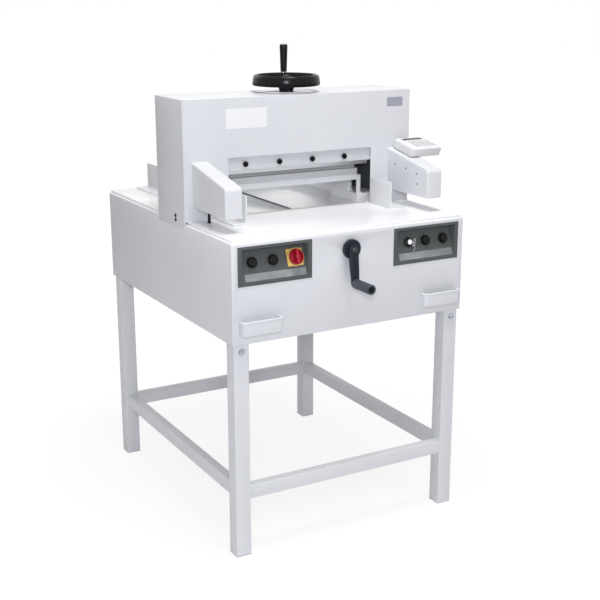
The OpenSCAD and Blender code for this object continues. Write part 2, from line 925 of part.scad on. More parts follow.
module clamp_nut() {
    color(BRONZE) difference() {
        bar_z(0, wheel_y, [deck_top, deck_top + nut_h], nut_r);
        bar_z(0, wheel_y, [deck_top - 1, deck_top + nut_h + 1], spindle_r + run_gap);
    }
}

module clamp_spindle() {
    low = deck_top - clamp_gap - 12;
    color(STEEL) {
        bar_z(0, wheel_y, [low, hub_top - 4], spindle_r);
        bar_z(0, wheel_y, [cross_z - 8, cross_z - slide_gap], spindle_r + 6);
        bar_z(0, wheel_y, [cross_z + cross_h + slide_gap, cross_z + cross_h + 10], spindle_r + 6);
    }
}

// The rim's section: two round ends joined by straight sides
module rim_section() {
    round_r = rim_w / 2;
    translate([rim_mid, rim_z + round_r]) circle(r = round_r);
    translate([rim_mid, rim_z + rim_h - round_r]) circle(r = round_r);
    translate([rim_mid - round_r, rim_z + round_r]) square([rim_w, rim_h - rim_w]);
}

module hand_wheel() {
    spoke_w = 26;
    spoke_h = 9;
    spoke_z = rim_z + rim_h / 2;
    color(BLACK) difference() {
        union() {
            translate([0, wheel_y, 0]) rotate_extrude() rim_section();
            for (a = [grip_angle : 120 : grip_angle + 240]) translate([0, wheel_y, spoke_z]) rotate(a)
                block([spindle_r, rim_mid], [-spoke_w / 2, spoke_w / 2], [-spoke_h / 2, spoke_h / 2]);
            bar_z(0, wheel_y, [hub_z + hub_cone, hub_top], wheel_hub_r);
            translate([0, wheel_y, hub_z]) cylinder(r1 = wheel_hub_r - 6, r2 = wheel_hub_r, h = hub_cone);
            bar_z(grip_x, grip_y, [rim_z + rim_h - 3, grip_z + wheel_grip_len - 10], grip_pin_r);
        }
        bar_z(0, wheel_y, [hub_z - 1, hub_top - 4 + slide_gap], spindle_r + run_gap);
    }
}

module wheel_grip() {
    neck_r = wheel_grip_r - 2.5;
    round_r = 3;
    color(BLACK) translate([grip_x, grip_y, grip_z]) difference() {
        rotate_extrude() {
            polygon([[0, 0], [neck_r, 0], [wheel_grip_r, wheel_grip_len - round_r],
                [wheel_grip_r - round_r, wheel_grip_len], [0, wheel_grip_len]]);
        }
        translate([0, 0, -1]) cylinder(r = grip_pin_r + run_gap, h = wheel_grip_len - 8);
    }
}

module bearings() {
    hanger_top = bed_bottom - bed_beam_h;
    color(BRONZE) {
        difference() {
            union() {
                bar_z(0, wheel_y, [hood_top, hood_top + 3], bush_r + bush_flange);
                bar_z(0, wheel_y, [hood_top - cover_t - 6, hood_top], bush_r - seat_gap);
            }
            bar_z(0, wheel_y, [hood_top - cover_t - 7, hood_top + 4], spindle_r + run_gap);
        }
        difference() {
            union() {
                bar_y(gauge_x, gauge_z, [crank_y + seat_gap, -cab_y], 2 * gauge_r + 4);
                bar_y(gauge_x, gauge_z, [-cab_y, -cab_y + 10], 2 * gauge_r - seat_gap);
            }
            bar_y(gauge_x, gauge_z, [crank_y - 1, -cab_y + 11], gauge_r + run_gap);
        }
        for (y = [front_bearing_y, rear_beam_y]) difference() {
            block([gauge_x - carriage_x, gauge_x + carriage_x], [y, y + bearing_d],
                [gauge_z - carriage_h / 2, hanger_top]);
            bar_y(gauge_x, gauge_z, [y - 1, y + bearing_d + 1], gauge_r + run_gap);
            for (s = [-1, 1])
                bar_y(gauge_x + s * gauge_rod_x, gauge_z, [y - 1, y + bearing_d + 1], gauge_r + run_gap);
        }
    }
}

module gauge_rods() {
    color(STEEL) for (s = [-1, 1])
        bar_y(gauge_x + s * gauge_rod_x, gauge_z, [front_bearing_y, rear_beam_y + bearing_d], gauge_r);
}

module gauge_spindle() {
    color(STEEL) bar_y(gauge_x, gauge_z, [crank_y, rear_beam_y + bearing_d + 5], gauge_r);
}

module gauge_carriage() {
    y = [carriage_y, carriage_y + carriage_d];
    top = gauge_z + carriage_h / 2 - 2;
    color(IRON) {
        difference() {
            block([gauge_x - carriage_x, gauge_x + carriage_x], y, [gauge_z - carriage_h / 2, top]);
            for (x = [-gauge_rod_x, 0, gauge_rod_x])
                bar_y(gauge_x + x, gauge_z, [y[0] - 1, y[1] + 1], gauge_r + run_gap);
        }
        block([slot_x - neck_w / 2, slot_x + neck_w / 2], y, [top, fence_z]);
    }
}

module back_gauge() {
    foot_h = 12;
    foot_d = 50;
    color(STEEL) {
        block([-fence_x, fence_x], [fence_y, fence_y + gauge_t], [fence_z, fence_z + gauge_h]);
        block([-fence_x, fence_x], [fence_y + gauge_t, fence_y + gauge_t + foot_d],
            [fence_z, fence_z + foot_h]);
    }
}

module crank_handle() {
    top_r = 14.5;
    foot_r = 11;
    y = crank_y - crank_hub_t;
    color(GREY) {
        bar_y(gauge_x, gauge_z, [y, crank_y], crank_hub_r);
        hull() {
            bar_y(gauge_x, gauge_z, [y - crank_arm_t, y], top_r, $fn = 32);
            bar_y(gauge_x, crank_grip_z, [crank_foot_y - crank_arm_t, crank_foot_y], foot_r, $fn = 32);
        }
        bar_y(gauge_x, gauge_z, [y - crank_arm_t - 3, y - crank_arm_t], top_r - 6);
        bar_y(gauge_x, crank_grip_z, [crank_front + 5, crank_foot_y - crank_arm_t], grip_pin_r);
    }
}

module crank_grip() {
    len = crank_foot_y - crank_arm_t - 1 - crank_front;
    edge = 2;
    color(GREY) translate([gauge_x, crank_front, crank_grip_z]) rotate([-90, 0, 0]) difference() {
        rotate_extrude() polygon([[0, 0], [crank_grip_r - edge, 0], [crank_grip_r, edge],
            [crank_grip_r, len - edge], [crank_grip_r - edge, len], [0, len]]);
        translate([0, 0, -1]) cylinder(r = grip_pin_r + run_gap, h = len + 2);
        translate([0, 0, -1]) cylinder(r = crank_grip_r - 4, h = 9);
    }
}

// Height of an arm's sloping top, at a distance in front of the housing
function arm_top(d) = table_z + arm_back_h - d * arm_slope;

// The side of an arm: a level underside, an upright front and a sloping top
module arm_outline() {
    polygon([[hood_front, arm_z + arm_cut], [hood_front - arm_cut, arm_z], [arm_front, arm_z],
        [arm_front, arm_top(arm_len)], [hood_front, arm_top(0)]]);
}

// The hollow of an arm, which runs out at the housing
module arm_hollow() {
    polygon([[hood_front + 1, arm_z + arm_cut + arm_wall], [hood_front - arm_cut, arm_z + arm_wall],
        [arm_front + arm_wall, arm_z + arm_wall], [arm_front + arm_wall, arm_top(arm_len) - arm_wall],
        [hood_front + 1, arm_top(-1) - arm_wall]]);
}

// The arm on the right, a folded shell that is open towards the housing
module arm_shell() {
    difference() {
        plate_x([arm_x, arm_x + arm_w]) arm_outline();
        plate_x([arm_x + arm_wall, arm_x + arm_w - arm_wall]) arm_hollow();
        for (p = lenses) lens(p, 1, lens_r + slide_gap);
    }
}

// One light-barrier lens in the arm's inner face, at a place along the arm and above the table
module lens(place, stand, r) {
    translate([arm_x - stand, hood_front - place[0], table_z + place[1]]) rotate([0, 90, 0])
        cylinder(r = r, h = arm_wall + 2 * stand);
}

module arm_left() {
    color(PALE) mirror([1, 0, 0]) arm_shell();
}

module arm_right() {
    color(PALE) arm_shell();
}

module arm_fittings() {
    color(BLACK) {
        both_sides() for (p = lenses) lens(p, 0.5, lens_r);
        bar_z(-post_x, post_y, [table_z, arm_z], post_r);
    }
}

module display_unit() {
    back = 8;
    lean = 14;
    front = back + display_len - lean;
    color(WHITE) plate_x([display_x, display_x + display_w]) polygon([
        [hood_front - back, arm_top(back) + run_gap],
        [hood_front - front, arm_top(front) + run_gap],
        [hood_front - front - lean, arm_top(front + lean) + display_t],
        [hood_front - back, arm_top(back) + display_t]]);
}

// An angle guide on the right, from y[0] to y[1]
module angle_guide(y) {
    block([guide_x, guide_x + guide_t], y, [table_z, table_z + guide_h]);
    block([guide_x, guide_x + guide_t + guide_foot], y, [table_z, table_z + guide_t]);
}

module front_guides() {
    color(PALE) both_sides() angle_guide([hood_front - front_guide_len, hood_front]);
}

module rear_guides() {
    color(PALE) both_sides() angle_guide([hood_back, table_y]);
}

// Depth of a control panel's floor at a height
function floor_y(z) = console_foot + (z - console_low) * tan(console_tilt);

// Sets a piece on a control panel's floor, with -Y pointing out of the floor
module on_floor(x) {
    translate([x, control_y, control_z]) rotate([-console_tilt, 0, 0]) children();
}

// A control panel: a rim on the cabinet, and a body through it with a recess whose floor leans back
module console(mid, holes) {
    x = [mid - console_w / 2, mid + console_w / 2];
    fit = console_lip + slide_gap;
    z = [console_z + fit, console_z + console_h - fit];
    back = console_wall / cos(console_tilt);
    difference() {
        union() {
            block(x, [console_front, -cab_y], [console_z, console_z + console_h]);
            plate_x([x[0] + fit, x[1] - fit]) polygon([[-cab_y, z[0]], [floor_y(z[0]) + back, z[0]],
                [floor_y(z[1]) + back, z[1]], [-cab_y, z[1]]]);
        }
        plate_x([x[0] + console_side, x[1] - console_side]) polygon([[console_front - 1, console_low],
            [console_foot, console_low], [floor_y(console_high), console_high],
            [console_front - 1, console_high]]);
        for (h = holes) on_floor(h[0]) bar_y(0, 0, [-1, console_wall + 1], h[1]);
    }
}

module control_panels() {
    r = stem_r + run_gap;
    color(GREY) {
        console(-console_x, [[button_x[0], r], [button_x[1], r], [switch_x, r]]);
        console(console_x, [[lock_x, lock_r - 2], [button_x[2], r], [button_x[3], r]]);
    }
}

// A ring that stands on a panel's floor
module collar(x, h, inner, outer) {
    on_floor(x) difference() {
        bar_y(0, 0, [-h, 0], outer);
        bar_y(0, 0, [-h - 1, 1], inner);
    }
}

module button_collars() {
    inner = button_r + 0.5;
    color(BLACK) {
        for (x = button_x) collar(x, collar_h, inner, inner + collar_t);
        collar(lock_x, lock_collar_h, lock_r + slide_gap, lock_r + lock_collar_t);
    }
}

// One push button, whose stem runs in the panel's floor
module push_button(x) {
    back = -button_travel - 0.5;
    color(BLACK) on_floor(x) {
        bar_y(0, 0, [back - 5, back], button_r);
        bar_y(0, 0, [back, console_wall + 8], stem_r);
    }
}

module left_outer_button() push_button(button_x[0]);

module left_inner_button() push_button(button_x[1]);

module right_inner_button() push_button(button_x[2]);

module right_outer_button() push_button(button_x[3]);

module switch_plate() {
    color([0.93, 0.78, 0.1]) on_floor(switch_x) difference() {
        block([-plate_half, plate_half], [-plate_t, 0], [-plate_half, plate_half]);
        bar_y(0, 0, [-plate_t - 1, 1], stem_r + run_gap);
    }
}

module switch_knob() {
    face = -plate_t - seat_gap;
    color([0.8, 0.1, 0.12]) on_floor(switch_x) {
        bar_y(0, 0, [face - 8, face], knob_r);
        block([-6, 6], [face - 21, face - 8], [1 - knob_r, knob_r - 1]);
        bar_y(0, 0, [face, console_wall + 8], stem_r);
    }
}

module lock_barrel() {
    color([0.8, 0.8, 0.82]) on_floor(lock_x) difference() {
        union() {
            bar_y(0, 0, [-lock_h, 0], lock_r);
            bar_y(0, 0, [0, console_wall + 22], lock_r - 2 - slide_gap);
        }
        bar_y(0, 0, [-lock_h - 1, console_wall + 18], plug_r + run_gap);
    }
}

// A disc of a key, in the YZ plane
module key_disc(y, z, r, t) {
    translate([-t / 2, y, z]) rotate([0, 90, 0]) cylinder(r = r, h = t);
}

module key() {
    front = -lock_h - 0.5;
    color([0.75, 0.75, 0.77]) on_floor(lock_x) {
        bar_y(0, 0, [front, console_wall + 17], plug_r);
        difference() {
            union() {
                block([-key_t / 2, key_t / 2], [bow_out, front], [-4, 4]);
                key_disc(bow_out, 0, bow_r, key_t);
            }
            key_disc(bow_hole_out, 0, bow_hole_r, 2 * key_t);
        }
    }
}

module spare_key() {
    low = ring_top - 2 * ring_r;
    color([0.75, 0.75, 0.77]) translate([lock_x, hang_y, hang_z]) {
        translate([0, 0, ring_top - ring_r]) rotate([90, 0, 0]) rotate_extrude()
            translate([ring_r, 0]) circle(r = ring_wire);
        key_disc(0, low - 5, 6, key_t);
        block([-key_t / 2, key_t / 2], [-2.5, 2.5], [low - 17, low - 5]);
    }
}

module pull_handle() {
    x = [handle_x - handle_w / 2, handle_x + handle_w / 2];
    y = [-cab_y - handle_reach, -cab_y];
    z = [cab_bottom + handle_z, cab_bottom + handle_z + handle_h];
    difference() {
        block(x, y, z);
        block([x[0] + handle_t, x[1] - handle_t], [y[0] + handle_t, y[1] + 1], [z[0] - 1, z[1] + 1]);
    }
}

module pull_handles() {
    color(PALE) both_sides() pull_handle();
}

// Sets a piece in the frame whose origin is under the middle of the machine
module place() {
    translate([-mid_x, -mid_y, 0]) children();
}

place() legs();
place() stretchers();
place() leg_caps();
place() leg_bolts();
place() base_frame();
place() cabinet_front();
place() cabinet_sides();
place() cabinet_rear();
place() table_front();
place() side_tables();
place() bed();
place() cutting_stick();
place() bed_beams();
place() uprights();
place() crossbeam();
place() upper_cover();
place() rear_cover();
place() knife_guides();
place() side_lays();
place() arm_left();
place() arm_right();
place() arm_fittings();
place() display_unit();
place() front_guides();
place() rear_guides();
place() control_panels();
place() button_collars();
place() switch_plate();
place() lock_barrel();
place() pull_handles();
place() knife_gearbox();
place() knife_motor();
place() electrical_box();
place() power_inlet();
place() bearings();
place() gauge_rods();
place() knife_carrier();
place() knife_blade();
place() knife_bolts();
place() pull_rod();
place() crank_disc();
place() clamp_beam();
place() clamp_sole();
place() clamp_nut();
place() clamp_rods();
place() hand_wheel();
place() clamp_spindle();
place() wheel_grip();
place() back_gauge();
place() gauge_carriage();
place() crank_handle();
place() gauge_spindle();
place() crank_grip();
place() left_outer_button();
place() left_inner_button();
place() right_inner_button();
place() right_outer_button();
place() switch_knob();
place() key();
place() spare_key();
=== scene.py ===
"""Dressed model of a floor-standing stack paper cutter.

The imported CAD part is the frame. The pieces that show are modelled here and ride on its bodies. The pieces
inside the machine keep their CAD shapes and get a finish. Points and sizes are in the machine's own
millimetres. The studio's are in metres.
"""

import logging
import math
from collections.abc import Callable, Sequence
from dataclasses import dataclass, replace
from enum import Enum

import bpy
from mathutils import Euler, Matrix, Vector


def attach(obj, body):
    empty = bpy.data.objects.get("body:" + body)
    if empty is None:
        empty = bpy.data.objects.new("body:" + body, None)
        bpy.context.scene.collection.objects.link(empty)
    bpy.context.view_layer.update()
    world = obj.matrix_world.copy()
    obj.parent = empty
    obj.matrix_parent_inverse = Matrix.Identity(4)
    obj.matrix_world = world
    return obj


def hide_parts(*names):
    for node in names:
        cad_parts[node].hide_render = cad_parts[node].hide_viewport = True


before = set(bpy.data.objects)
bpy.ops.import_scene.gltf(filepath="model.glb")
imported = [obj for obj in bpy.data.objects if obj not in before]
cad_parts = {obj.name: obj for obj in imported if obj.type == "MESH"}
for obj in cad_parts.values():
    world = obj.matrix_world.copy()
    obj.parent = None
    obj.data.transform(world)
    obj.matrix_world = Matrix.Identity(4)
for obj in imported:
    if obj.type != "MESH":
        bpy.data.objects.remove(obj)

Color = tuple[float, float, float]
Point = tuple[float, float, float]
Pair = tuple[float, float]
Profile = Sequence[Pair]
Test = Callable[[Vector, Vector], bool]  # Of an edge's two ends, or of a face's centre and normal
Node = bpy.types.Node
Socket = bpy.types.NodeSocket

LOG = logging.getLogger("cutter")
MM = 0.001
SHIFT = Vector((-22.5, 55.0, 0.0))  # From the machine's origin to the frame's
SAME = 0.05  # Lengths that differ by less agree
FACING = 0.9  # The least cosine between a face's normal and the way it looks
WELD = 0.000005  # Turned points this close become one, in metres
CAD_WELD = 0.00001  # The same for the points of a CAD node
FLAT = math.radians(0.4)  # Faces that meet at less become one
SHARP = math.radians(40)  # Edges that bend by more are softened
DRAFT = 0.02  # How far the walls of a sunk face lean
SMOOTH = math.radians(32)  # Edges that bend by less are shaded smooth
STREAK = 0.015  # How far fine marks are stretched along the way they run
WORN_AND_LIT_EDGE_WIDTH = 0.0012  # The width of the lighter edges, partly rubbed wear and partly painted highlight, in metres
WAVE_RATE = 20.0  # Radians per metre in one unit of a wave's scale
WHITE = (1.0, 1.0, 1.0)


def place(x: float, y: float, z: float) -> Vector:
    """The frame's point, in metres, of a point in the machine's own millimetres."""
    return (Vector((x, y, z)) + SHIFT) * MM


def near(a: float, b: float) -> bool:
    """Whether two lengths agree."""
    return abs(a - b) < SAME


def long_edge(length: float) -> Test:
    """A test for edges longer than a length."""
    return lambda a, b: (a - b).length > length


def short_edge(length: float) -> Test:
    """A test for edges shorter than a length."""
    return lambda a, b: (a - b).length < length


def facing(x: float, y: float, z: float) -> Test:
    """A test for faces that look along an axis."""
    return lambda c, n: n.dot(Vector((x, y, z))) > FACING


def aim(spot: Point, target: Point) -> Euler:
    """The turn with which a camera or light at a spot looks at a target."""
    return (Vector(target) - Vector(spot)).to_track_quat("-Z", "Y").to_euler()


def rounded(points: Sequence[Point], radius: float, steps: int = 6) -> list[Point]:
    """Round the square corners of a path.

    Args:
        points: The path's corners.
        radius: The radius at each inner corner.
        steps: The pieces of each arc.

    Returns:
        The path with an arc at each corner.
    """
    path: list[Point] = [points[0]]
    for before, corner, after in zip(points, points[1:], points[2:]):
        spot = Vector(corner)
        back = (Vector(before) - spot).normalized() * radius
        onward = (Vector(after) - spot).normalized() * radius
        for i in range(steps + 1):
            turn = math.pi / 2 * i / steps
            path.append(tuple(spot + back + onward - onward * math.cos(turn) - back * math.sin(turn)))
    path.append(points[-1])
    return path


class Axis(Enum):
    """Where a turned piece points, as the turn that brings +Z there."""

    UP = (0.0, 0.0, 0.0)
    FRONT = (math.pi / 2, 0.0, 0.0)
    BACK = (-math.pi / 2, 0.0, 0.0)
    RIGHT = (0.0, math.pi / 2, 0.0)
    LEFT = (0.0, -math.pi / 2, 0.0)
    PANEL = (math.radians(71.0), 0.0, 0.0)


class Side(Enum):
    """A side of the machine, as the sign of X there."""

    LEFT = -1
    RIGHT = 1

    @property
    def hand(self) -> str:
        """The side's word in the names of pieces."""
        return self.name.lower()


class Run(Enum):
    """How the fine marks of a finish run, as their stretch on each axis."""

    EVEN = (1.0, 1.0, 1.0)
    ALONG_X = (STREAK, 1.0, 1.0)
    ALONG_Y = (1.0, STREAK, 1.0)
    ALONG_Z = (1.0, 1.0, STREAK)


class Wires:
    """A node tree and the few moves that fill it."""

    def __init__(self, tree: bpy.types.NodeTree) -> None:
        """Start from an empty tree."""
        self.tree = tree
        tree.nodes.clear()

    def add(self, kind: str, settings: dict[str, object] | None = None, **inputs: object) -> Node:
        """Add a node.

        Args:
            kind: The node's type.
            settings: Its properties by name.
            inputs: What its inputs get, as feed takes it.

        Returns:
            The new node.
        """
        node = self.tree.nodes.new(kind)
        for key, value in (settings or {}).items():
            setattr(node, key, value)
        return self.feed(node, **inputs)

    def feed(self, node: Node, **inputs: object) -> Node:
        """Set or link a node's inputs.

        Args:
            node: The node to feed.
            inputs: Values or output sockets by input name, with spaces as underscores, or by i and a number.

        Returns:
            The same node.
        """
        for key, value in inputs.items():
            number = key[1:]
            socket = node.inputs[int(number)] if number.isdigit() else node.inputs[key.replace("_", " ")]
            if isinstance(value, Socket):
                self.tree.links.new(value, socket)
            else:
                socket.default_value = value
        return node

    def noise(self, vector: Socket, scale: Socket, detail: float) -> Socket:
        """A noise of so many marks per metre."""
        return self.add("ShaderNodeTexNoise", Vector=vector, Scale=scale, Detail=detail).outputs[0]

    def ramp(self, value: Socket, low: float, high: float, start: float = 0.0, end: float = 1.0) -> Socket:
        """A value brought from one range to another."""
        return self.add("ShaderNodeMapRange", Value=value, From_Min=low, From_Max=high, To_Min=start,
                        To_Max=end).outputs[0]

    def reckon(self, operation: str, first: Socket, second: Socket | float) -> Socket:
        """The result of an operation on two values."""
        return self.add("ShaderNodeMath", {"operation": operation}, i0=first, i1=second).outputs[0]

    def blend(self, share: Socket, first: Socket | Color, second: Color) -> Socket:
        """The mix of a colour and a second one, by the second one's share."""
        start = first if isinstance(first, Socket) else (*first, 1.0)
        return self.add("ShaderNodeMix", {"data_type": "RGBA"}, i0=share, i6=start,
                        i7=(*second, 1.0)).outputs[2]

    def group(self, tree: bpy.types.NodeTree, **inputs: object) -> Node:
        """A shared node group with its inputs."""
        return self.add("ShaderNodeGroup", {"node_tree": tree}, **inputs)


class Marks:
    """The shared node groups that vary a surface."""

    FLECK_SCALE = 0.31
    FLECKS = (0.58, 0.74)
    PATCHES = (0.32, 0.68)
    EDGES = (0.995, 0.86)

    @staticmethod
    def tree(name: str, inputs: dict[str, str], outputs: Sequence[str]) -> tuple[Wires, Node, Node]:
        """Start a node group.

        Args:
            name: The group's name.
            inputs: Socket kinds by input name.
            outputs: The names of its outputs, all plain values.

        Returns:
            The group's wires, its input node and its output node.
        """
        group = bpy.data.node_groups.new(name, "ShaderNodeTree")
        for key, kind in inputs.items():
            group.interface.new_socket(key, in_out="INPUT", socket_type=kind)
        for key in outputs:
            group.interface.new_socket(key, in_out="OUTPUT", socket_type="NodeSocketFloat")
        wires = Wires(group)
        return wires, wires.add("NodeGroupInput"), wires.add("NodeGroupOutput")

    @classmethod
    def surface(cls) -> bpy.types.NodeTree:
        """Make the group with fine relief, sparse flecks and soft patches.

        Returns:
            The group, made once.
        """
        name = "surface_marks"
        if name in bpy.data.node_groups:
            return bpy.data.node_groups[name]
        kinds = {"Vector": "NodeSocketVector", "Run": "NodeSocketVector", "Fine": "NodeSocketFloat",
                 "Patch": "NodeSocketFloat"}
        wires, start, end = cls.tree(name, kinds, ("Height", "Fleck", "Patches"))
        out = start.outputs
        run = wires.add("ShaderNodeVectorMath", {"operation": "MULTIPLY"}, i0=out["Vector"], i1=out["Run"])
        fleck = wires.noise(run.outputs[0], wires.reckon("MULTIPLY", out["Fine"], cls.FLECK_SCALE), 1.0)
        patch = wires.noise(out["Vector"], out["Patch"], 4.0)
        wires.feed(end, Height=wires.noise(run.outputs[0], out["Fine"], 3.0),
                   Fleck=wires.ramp(fleck, *cls.FLECKS), Patches=wires.ramp(patch, *cls.PATCHES))
        return wires.tree

    @classmethod
    def edges(cls) -> bpy.types.NodeTree:
        """Make the group that finds the outer edges of a piece.

        Returns:
            The group, made once.
        """
        name = "edge_marks"
        if name in bpy.data.node_groups:
            return bpy.data.node_groups[name]
        wires, start, end = cls.tree(name, {"Width": "NodeSocketFloat"}, ("Edge",))
        bevel = wires.add("ShaderNodeBevel", {"samples": 4}, Radius=start.outputs["Width"])
        plain = wires.add("ShaderNodeNewGeometry")
        dot = wires.add("ShaderNodeVectorMath", {"operation": "DOT_PRODUCT"}, i0=bevel.outputs[0],
                        i1=plain.outputs["Normal"])
        wires.feed(end, Edge=wires.ramp(dot.outputs["Value"], *cls.EDGES))
        return wires.tree


@dataclass(frozen=True)
class Finish:
    """A surface finish, made into a material when it is first used.

    Attributes:
        name: The material's name.
        color: The main colour.
        shade: The colour of its darker patches.
        rough: The roughness, from smooth to rough patches.
        metallic: 1 for bare metal.
        coat: The weight of a clear coat.
        fine: The fine marks per metre.
        bump: The strength of the fine relief.
        depth: The height of the fine relief.
        patch: The soft patches per metre.
        run: The way the fine marks run.
        edge: The lighter colour that the edges take, if any: partly rubbed wear, partly a painted highlight.
        specular: The strength of the plain reflection.
    """

    name: str
    color: Color
    shade: Color
    rough: Pair = (0.42, 0.5)
    metallic: float = 0.0
    coat: float = 0.0
    fine: float = 900.0
    bump: float = 0.12
    depth: float = 0.1
    patch: float = 5.0
    run: Run = Run.EVEN
    edge: Color | None = None
    specular: float = 0.5

    def height(self, wires: Wires, coords: Socket, marks: Node) -> Socket:
        """The relief of this finish."""
        return marks.outputs["Height"]

    def material(self) -> bpy.types.Material:
        """Make the finish's material.

        Returns:
            The material, made once.
        """
        name = f"finish_{self.name}"
        if name in bpy.data.materials:
            return bpy.data.materials[name]
        material = bpy.data.materials.new(name)
        material.use_nodes = True
        wires = Wires(material.node_tree)
        coords = wires.add("ShaderNodeTexCoord").outputs["Object"]
        marks = wires.group(Marks.surface(), Vector=coords, Run=self.run.value, Fine=self.fine,
                            Patch=self.patch)
        color = wires.blend(marks.outputs["Patches"], self.color, self.shade)
        # The edges are blended to a lighter colour: partly rubbed wear, partly a painted highlight.
        if self.edge is not None:
            worn_and_lit_edge = wires.group(Marks.edges(), Width=WORN_AND_LIT_EDGE_WIDTH)
            color = wires.blend(worn_and_lit_edge.outputs["Edge"], color, self.edge)
        relief = wires.add("ShaderNodeBump", Strength=self.bump, Distance=self.depth * MM,
                           Height=self.height(wires, coords, marks))
        rough = wires.ramp(marks.outputs["Fleck"], 0.0, 1.0, *self.rough)
        shader = wires.add("ShaderNodeBsdfPrincipled", Base_Color=color, Roughness=rough,
                           Normal=relief.outputs[0], Metallic=self.metallic, Coat_Weight=self.coat,
                           Specular_IOR_Level=self.specular)
        wires.add("ShaderNodeOutputMaterial", Surface=shader.outputs[0])
        return material


@dataclass(frozen=True)
class Threaded(Finish):
    """A turned bar with a screw thread of a pitch along one axis."""

    along: str = "Y"
    pitch: float = 5.0

    def height(self, wires: Wires, coords: Socket, marks: Node) -> Socket:
        """The thread's ridges."""
        bands = {"wave_type": "BANDS", "bands_direction": self.along, "wave_profile": "TRI"}
        return wires.add("ShaderNodeTexWave", bands, Vector=coords, Distortion=0.0,
                         Scale=1.0 / MM / self.pitch / WAVE_RATE * math.pi).outputs["Fac"]


PAINT = Finish("white_paint", (0.757, 0.766, 0.79), (0.733, 0.743, 0.77), (0.38, 0.46), coat=0.12)
SHEET = Finish("table_paint", (0.945, 0.95, 0.955), (0.925, 0.93, 0.94), (0.34, 0.42), coat=0.15)
FRAME = Finish("frame_paint", (0.30, 0.31, 0.33), (0.26, 0.27, 0.29), (0.5, 0.6))
CAST = Finish("cast_iron", (0.065, 0.075, 0.08), (0.05, 0.058, 0.062), (0.5, 0.65), fine=420.0, bump=0.35,
              depth=0.4)
DRIVE = Finish("drive_paint", (0.20, 0.23, 0.26), (0.16, 0.19, 0.22), (0.45, 0.6), fine=350.0, bump=0.3,
               depth=0.4)
BED = Finish("ground_steel", (0.78, 0.79, 0.80), (0.72, 0.73, 0.75), (0.18, 0.28), 0.9, fine=1500.0,
             bump=0.08, depth=0.05, patch=9.0, run=Run.ALONG_Y, edge=(0.78, 0.79, 0.81))
BLADE = Finish("knife_steel", (0.66, 0.67, 0.69), (0.58, 0.59, 0.62), (0.3, 0.4), 0.4, fine=2400.0, bump=0.1,
               depth=0.04, run=Run.ALONG_Z, edge=(0.75, 0.76, 0.78))
CARRIER = Finish("carrier_paint", (0.62, 0.63, 0.66), (0.57, 0.58, 0.61), (0.36, 0.48), coat=0.1)
STICK = Finish("stick_plastic", (0.60, 0.50, 0.48), (0.52, 0.43, 0.42), (0.45, 0.6), fine=500.0,
               run=Run.ALONG_X)
CLAMP = Finish("clamp_paint", (0.53, 0.54, 0.56), (0.49, 0.50, 0.52), (0.36, 0.46), coat=0.1)
SOLE = Finish("sole_paint", (0.74, 0.75, 0.78), (0.70, 0.71, 0.74), (0.36, 0.46), fine=1300.0,
              run=Run.ALONG_X)
ALUMINIUM = Finish("anodised", (0.86, 0.87, 0.88), (0.80, 0.81, 0.83), (0.34, 0.44), 0.25, fine=1300.0,
                   bump=0.1, depth=0.05, run=Run.ALONG_X, edge=(0.9, 0.9, 0.92))
BRONZE = Finish("bearing_bronze", (0.42, 0.28, 0.13), (0.31, 0.20, 0.09), (0.32, 0.5), 1.0)
STEEL = Finish("turned_steel", (0.60, 0.61, 0.62), (0.50, 0.51, 0.53), (0.22, 0.36), 1.0, fine=1800.0,
               run=Run.ALONG_X, edge=(0.8, 0.8, 0.82))
ZINC = Finish("zinc_bolt", (0.62, 0.63, 0.68), (0.52, 0.53, 0.57), (0.16, 0.28), 1.0, fine=1400.0)
SPINDLE_Y = Threaded("gauge_thread", (0.55, 0.56, 0.57), (0.45, 0.46, 0.48), (0.26, 0.4), 1.0, bump=0.8,
                     depth=0.8)
SPINDLE_Z = replace(SPINDLE_Y, name="clamp_thread", along="Z")
BLACK_STEEL = Finish("black_steel", (0.006, 0.006, 0.008), (0.004, 0.004, 0.005), (0.38, 0.5), fine=1200.0,
                     specular=0.2)
WHEEL = Finish("wheel_gloss", (0.006, 0.007, 0.008), (0.004, 0.005, 0.006), (0.2, 0.28), fine=700.0,
               bump=0.04, specular=0.17)
BLACK = Finish("black_plastic", (0.007, 0.007, 0.008), (0.005, 0.005, 0.006), (0.36, 0.48), fine=1600.0,
               bump=0.2, specular=0.2)
PANEL = Finish("panel_plastic", (0.104, 0.114, 0.113), (0.090, 0.100, 0.099), (0.5, 0.62), fine=1500.0,
               bump=0.3, depth=0.15, specular=0.25)
LABEL = Finish("label_film", (0.38, 0.40, 0.41), (0.21, 0.23, 0.23), (0.4, 0.5), fine=300.0, patch=14.0,
               specular=0.3)
CRANK = Finish("crank_plastic", (0.016, 0.019, 0.028), (0.012, 0.015, 0.023), (0.36, 0.48), fine=1100.0,
               bump=0.3, specular=0.3)
BOSS = Finish("boss_gloss", (0.03, 0.034, 0.044), (0.024, 0.028, 0.037), (0.14, 0.2), coat=0.5, fine=700.0,
              bump=0.04)
GRIP = Finish("grip_plastic", (0.075, 0.083, 0.102), (0.062, 0.070, 0.088), (0.42, 0.55), fine=1100.0,
              bump=0.3, specular=0.4)
YELLOW = Finish("yellow_plastic", (0.93, 0.65, 0.20), (0.86, 0.58, 0.17), (0.32, 0.42), fine=1200.0,
                specular=0.35)
RED = Finish("red_plastic", (0.40, 0.010, 0.030), (0.34, 0.008, 0.024), (0.26, 0.36), fine=1200.0, bump=0.08,
             specular=0.3)
CHROME = Finish("lock_chrome", (0.78, 0.79, 0.80), (0.70, 0.71, 0.73), (0.06, 0.16), 1.0, fine=2000.0,
                bump=0.04)
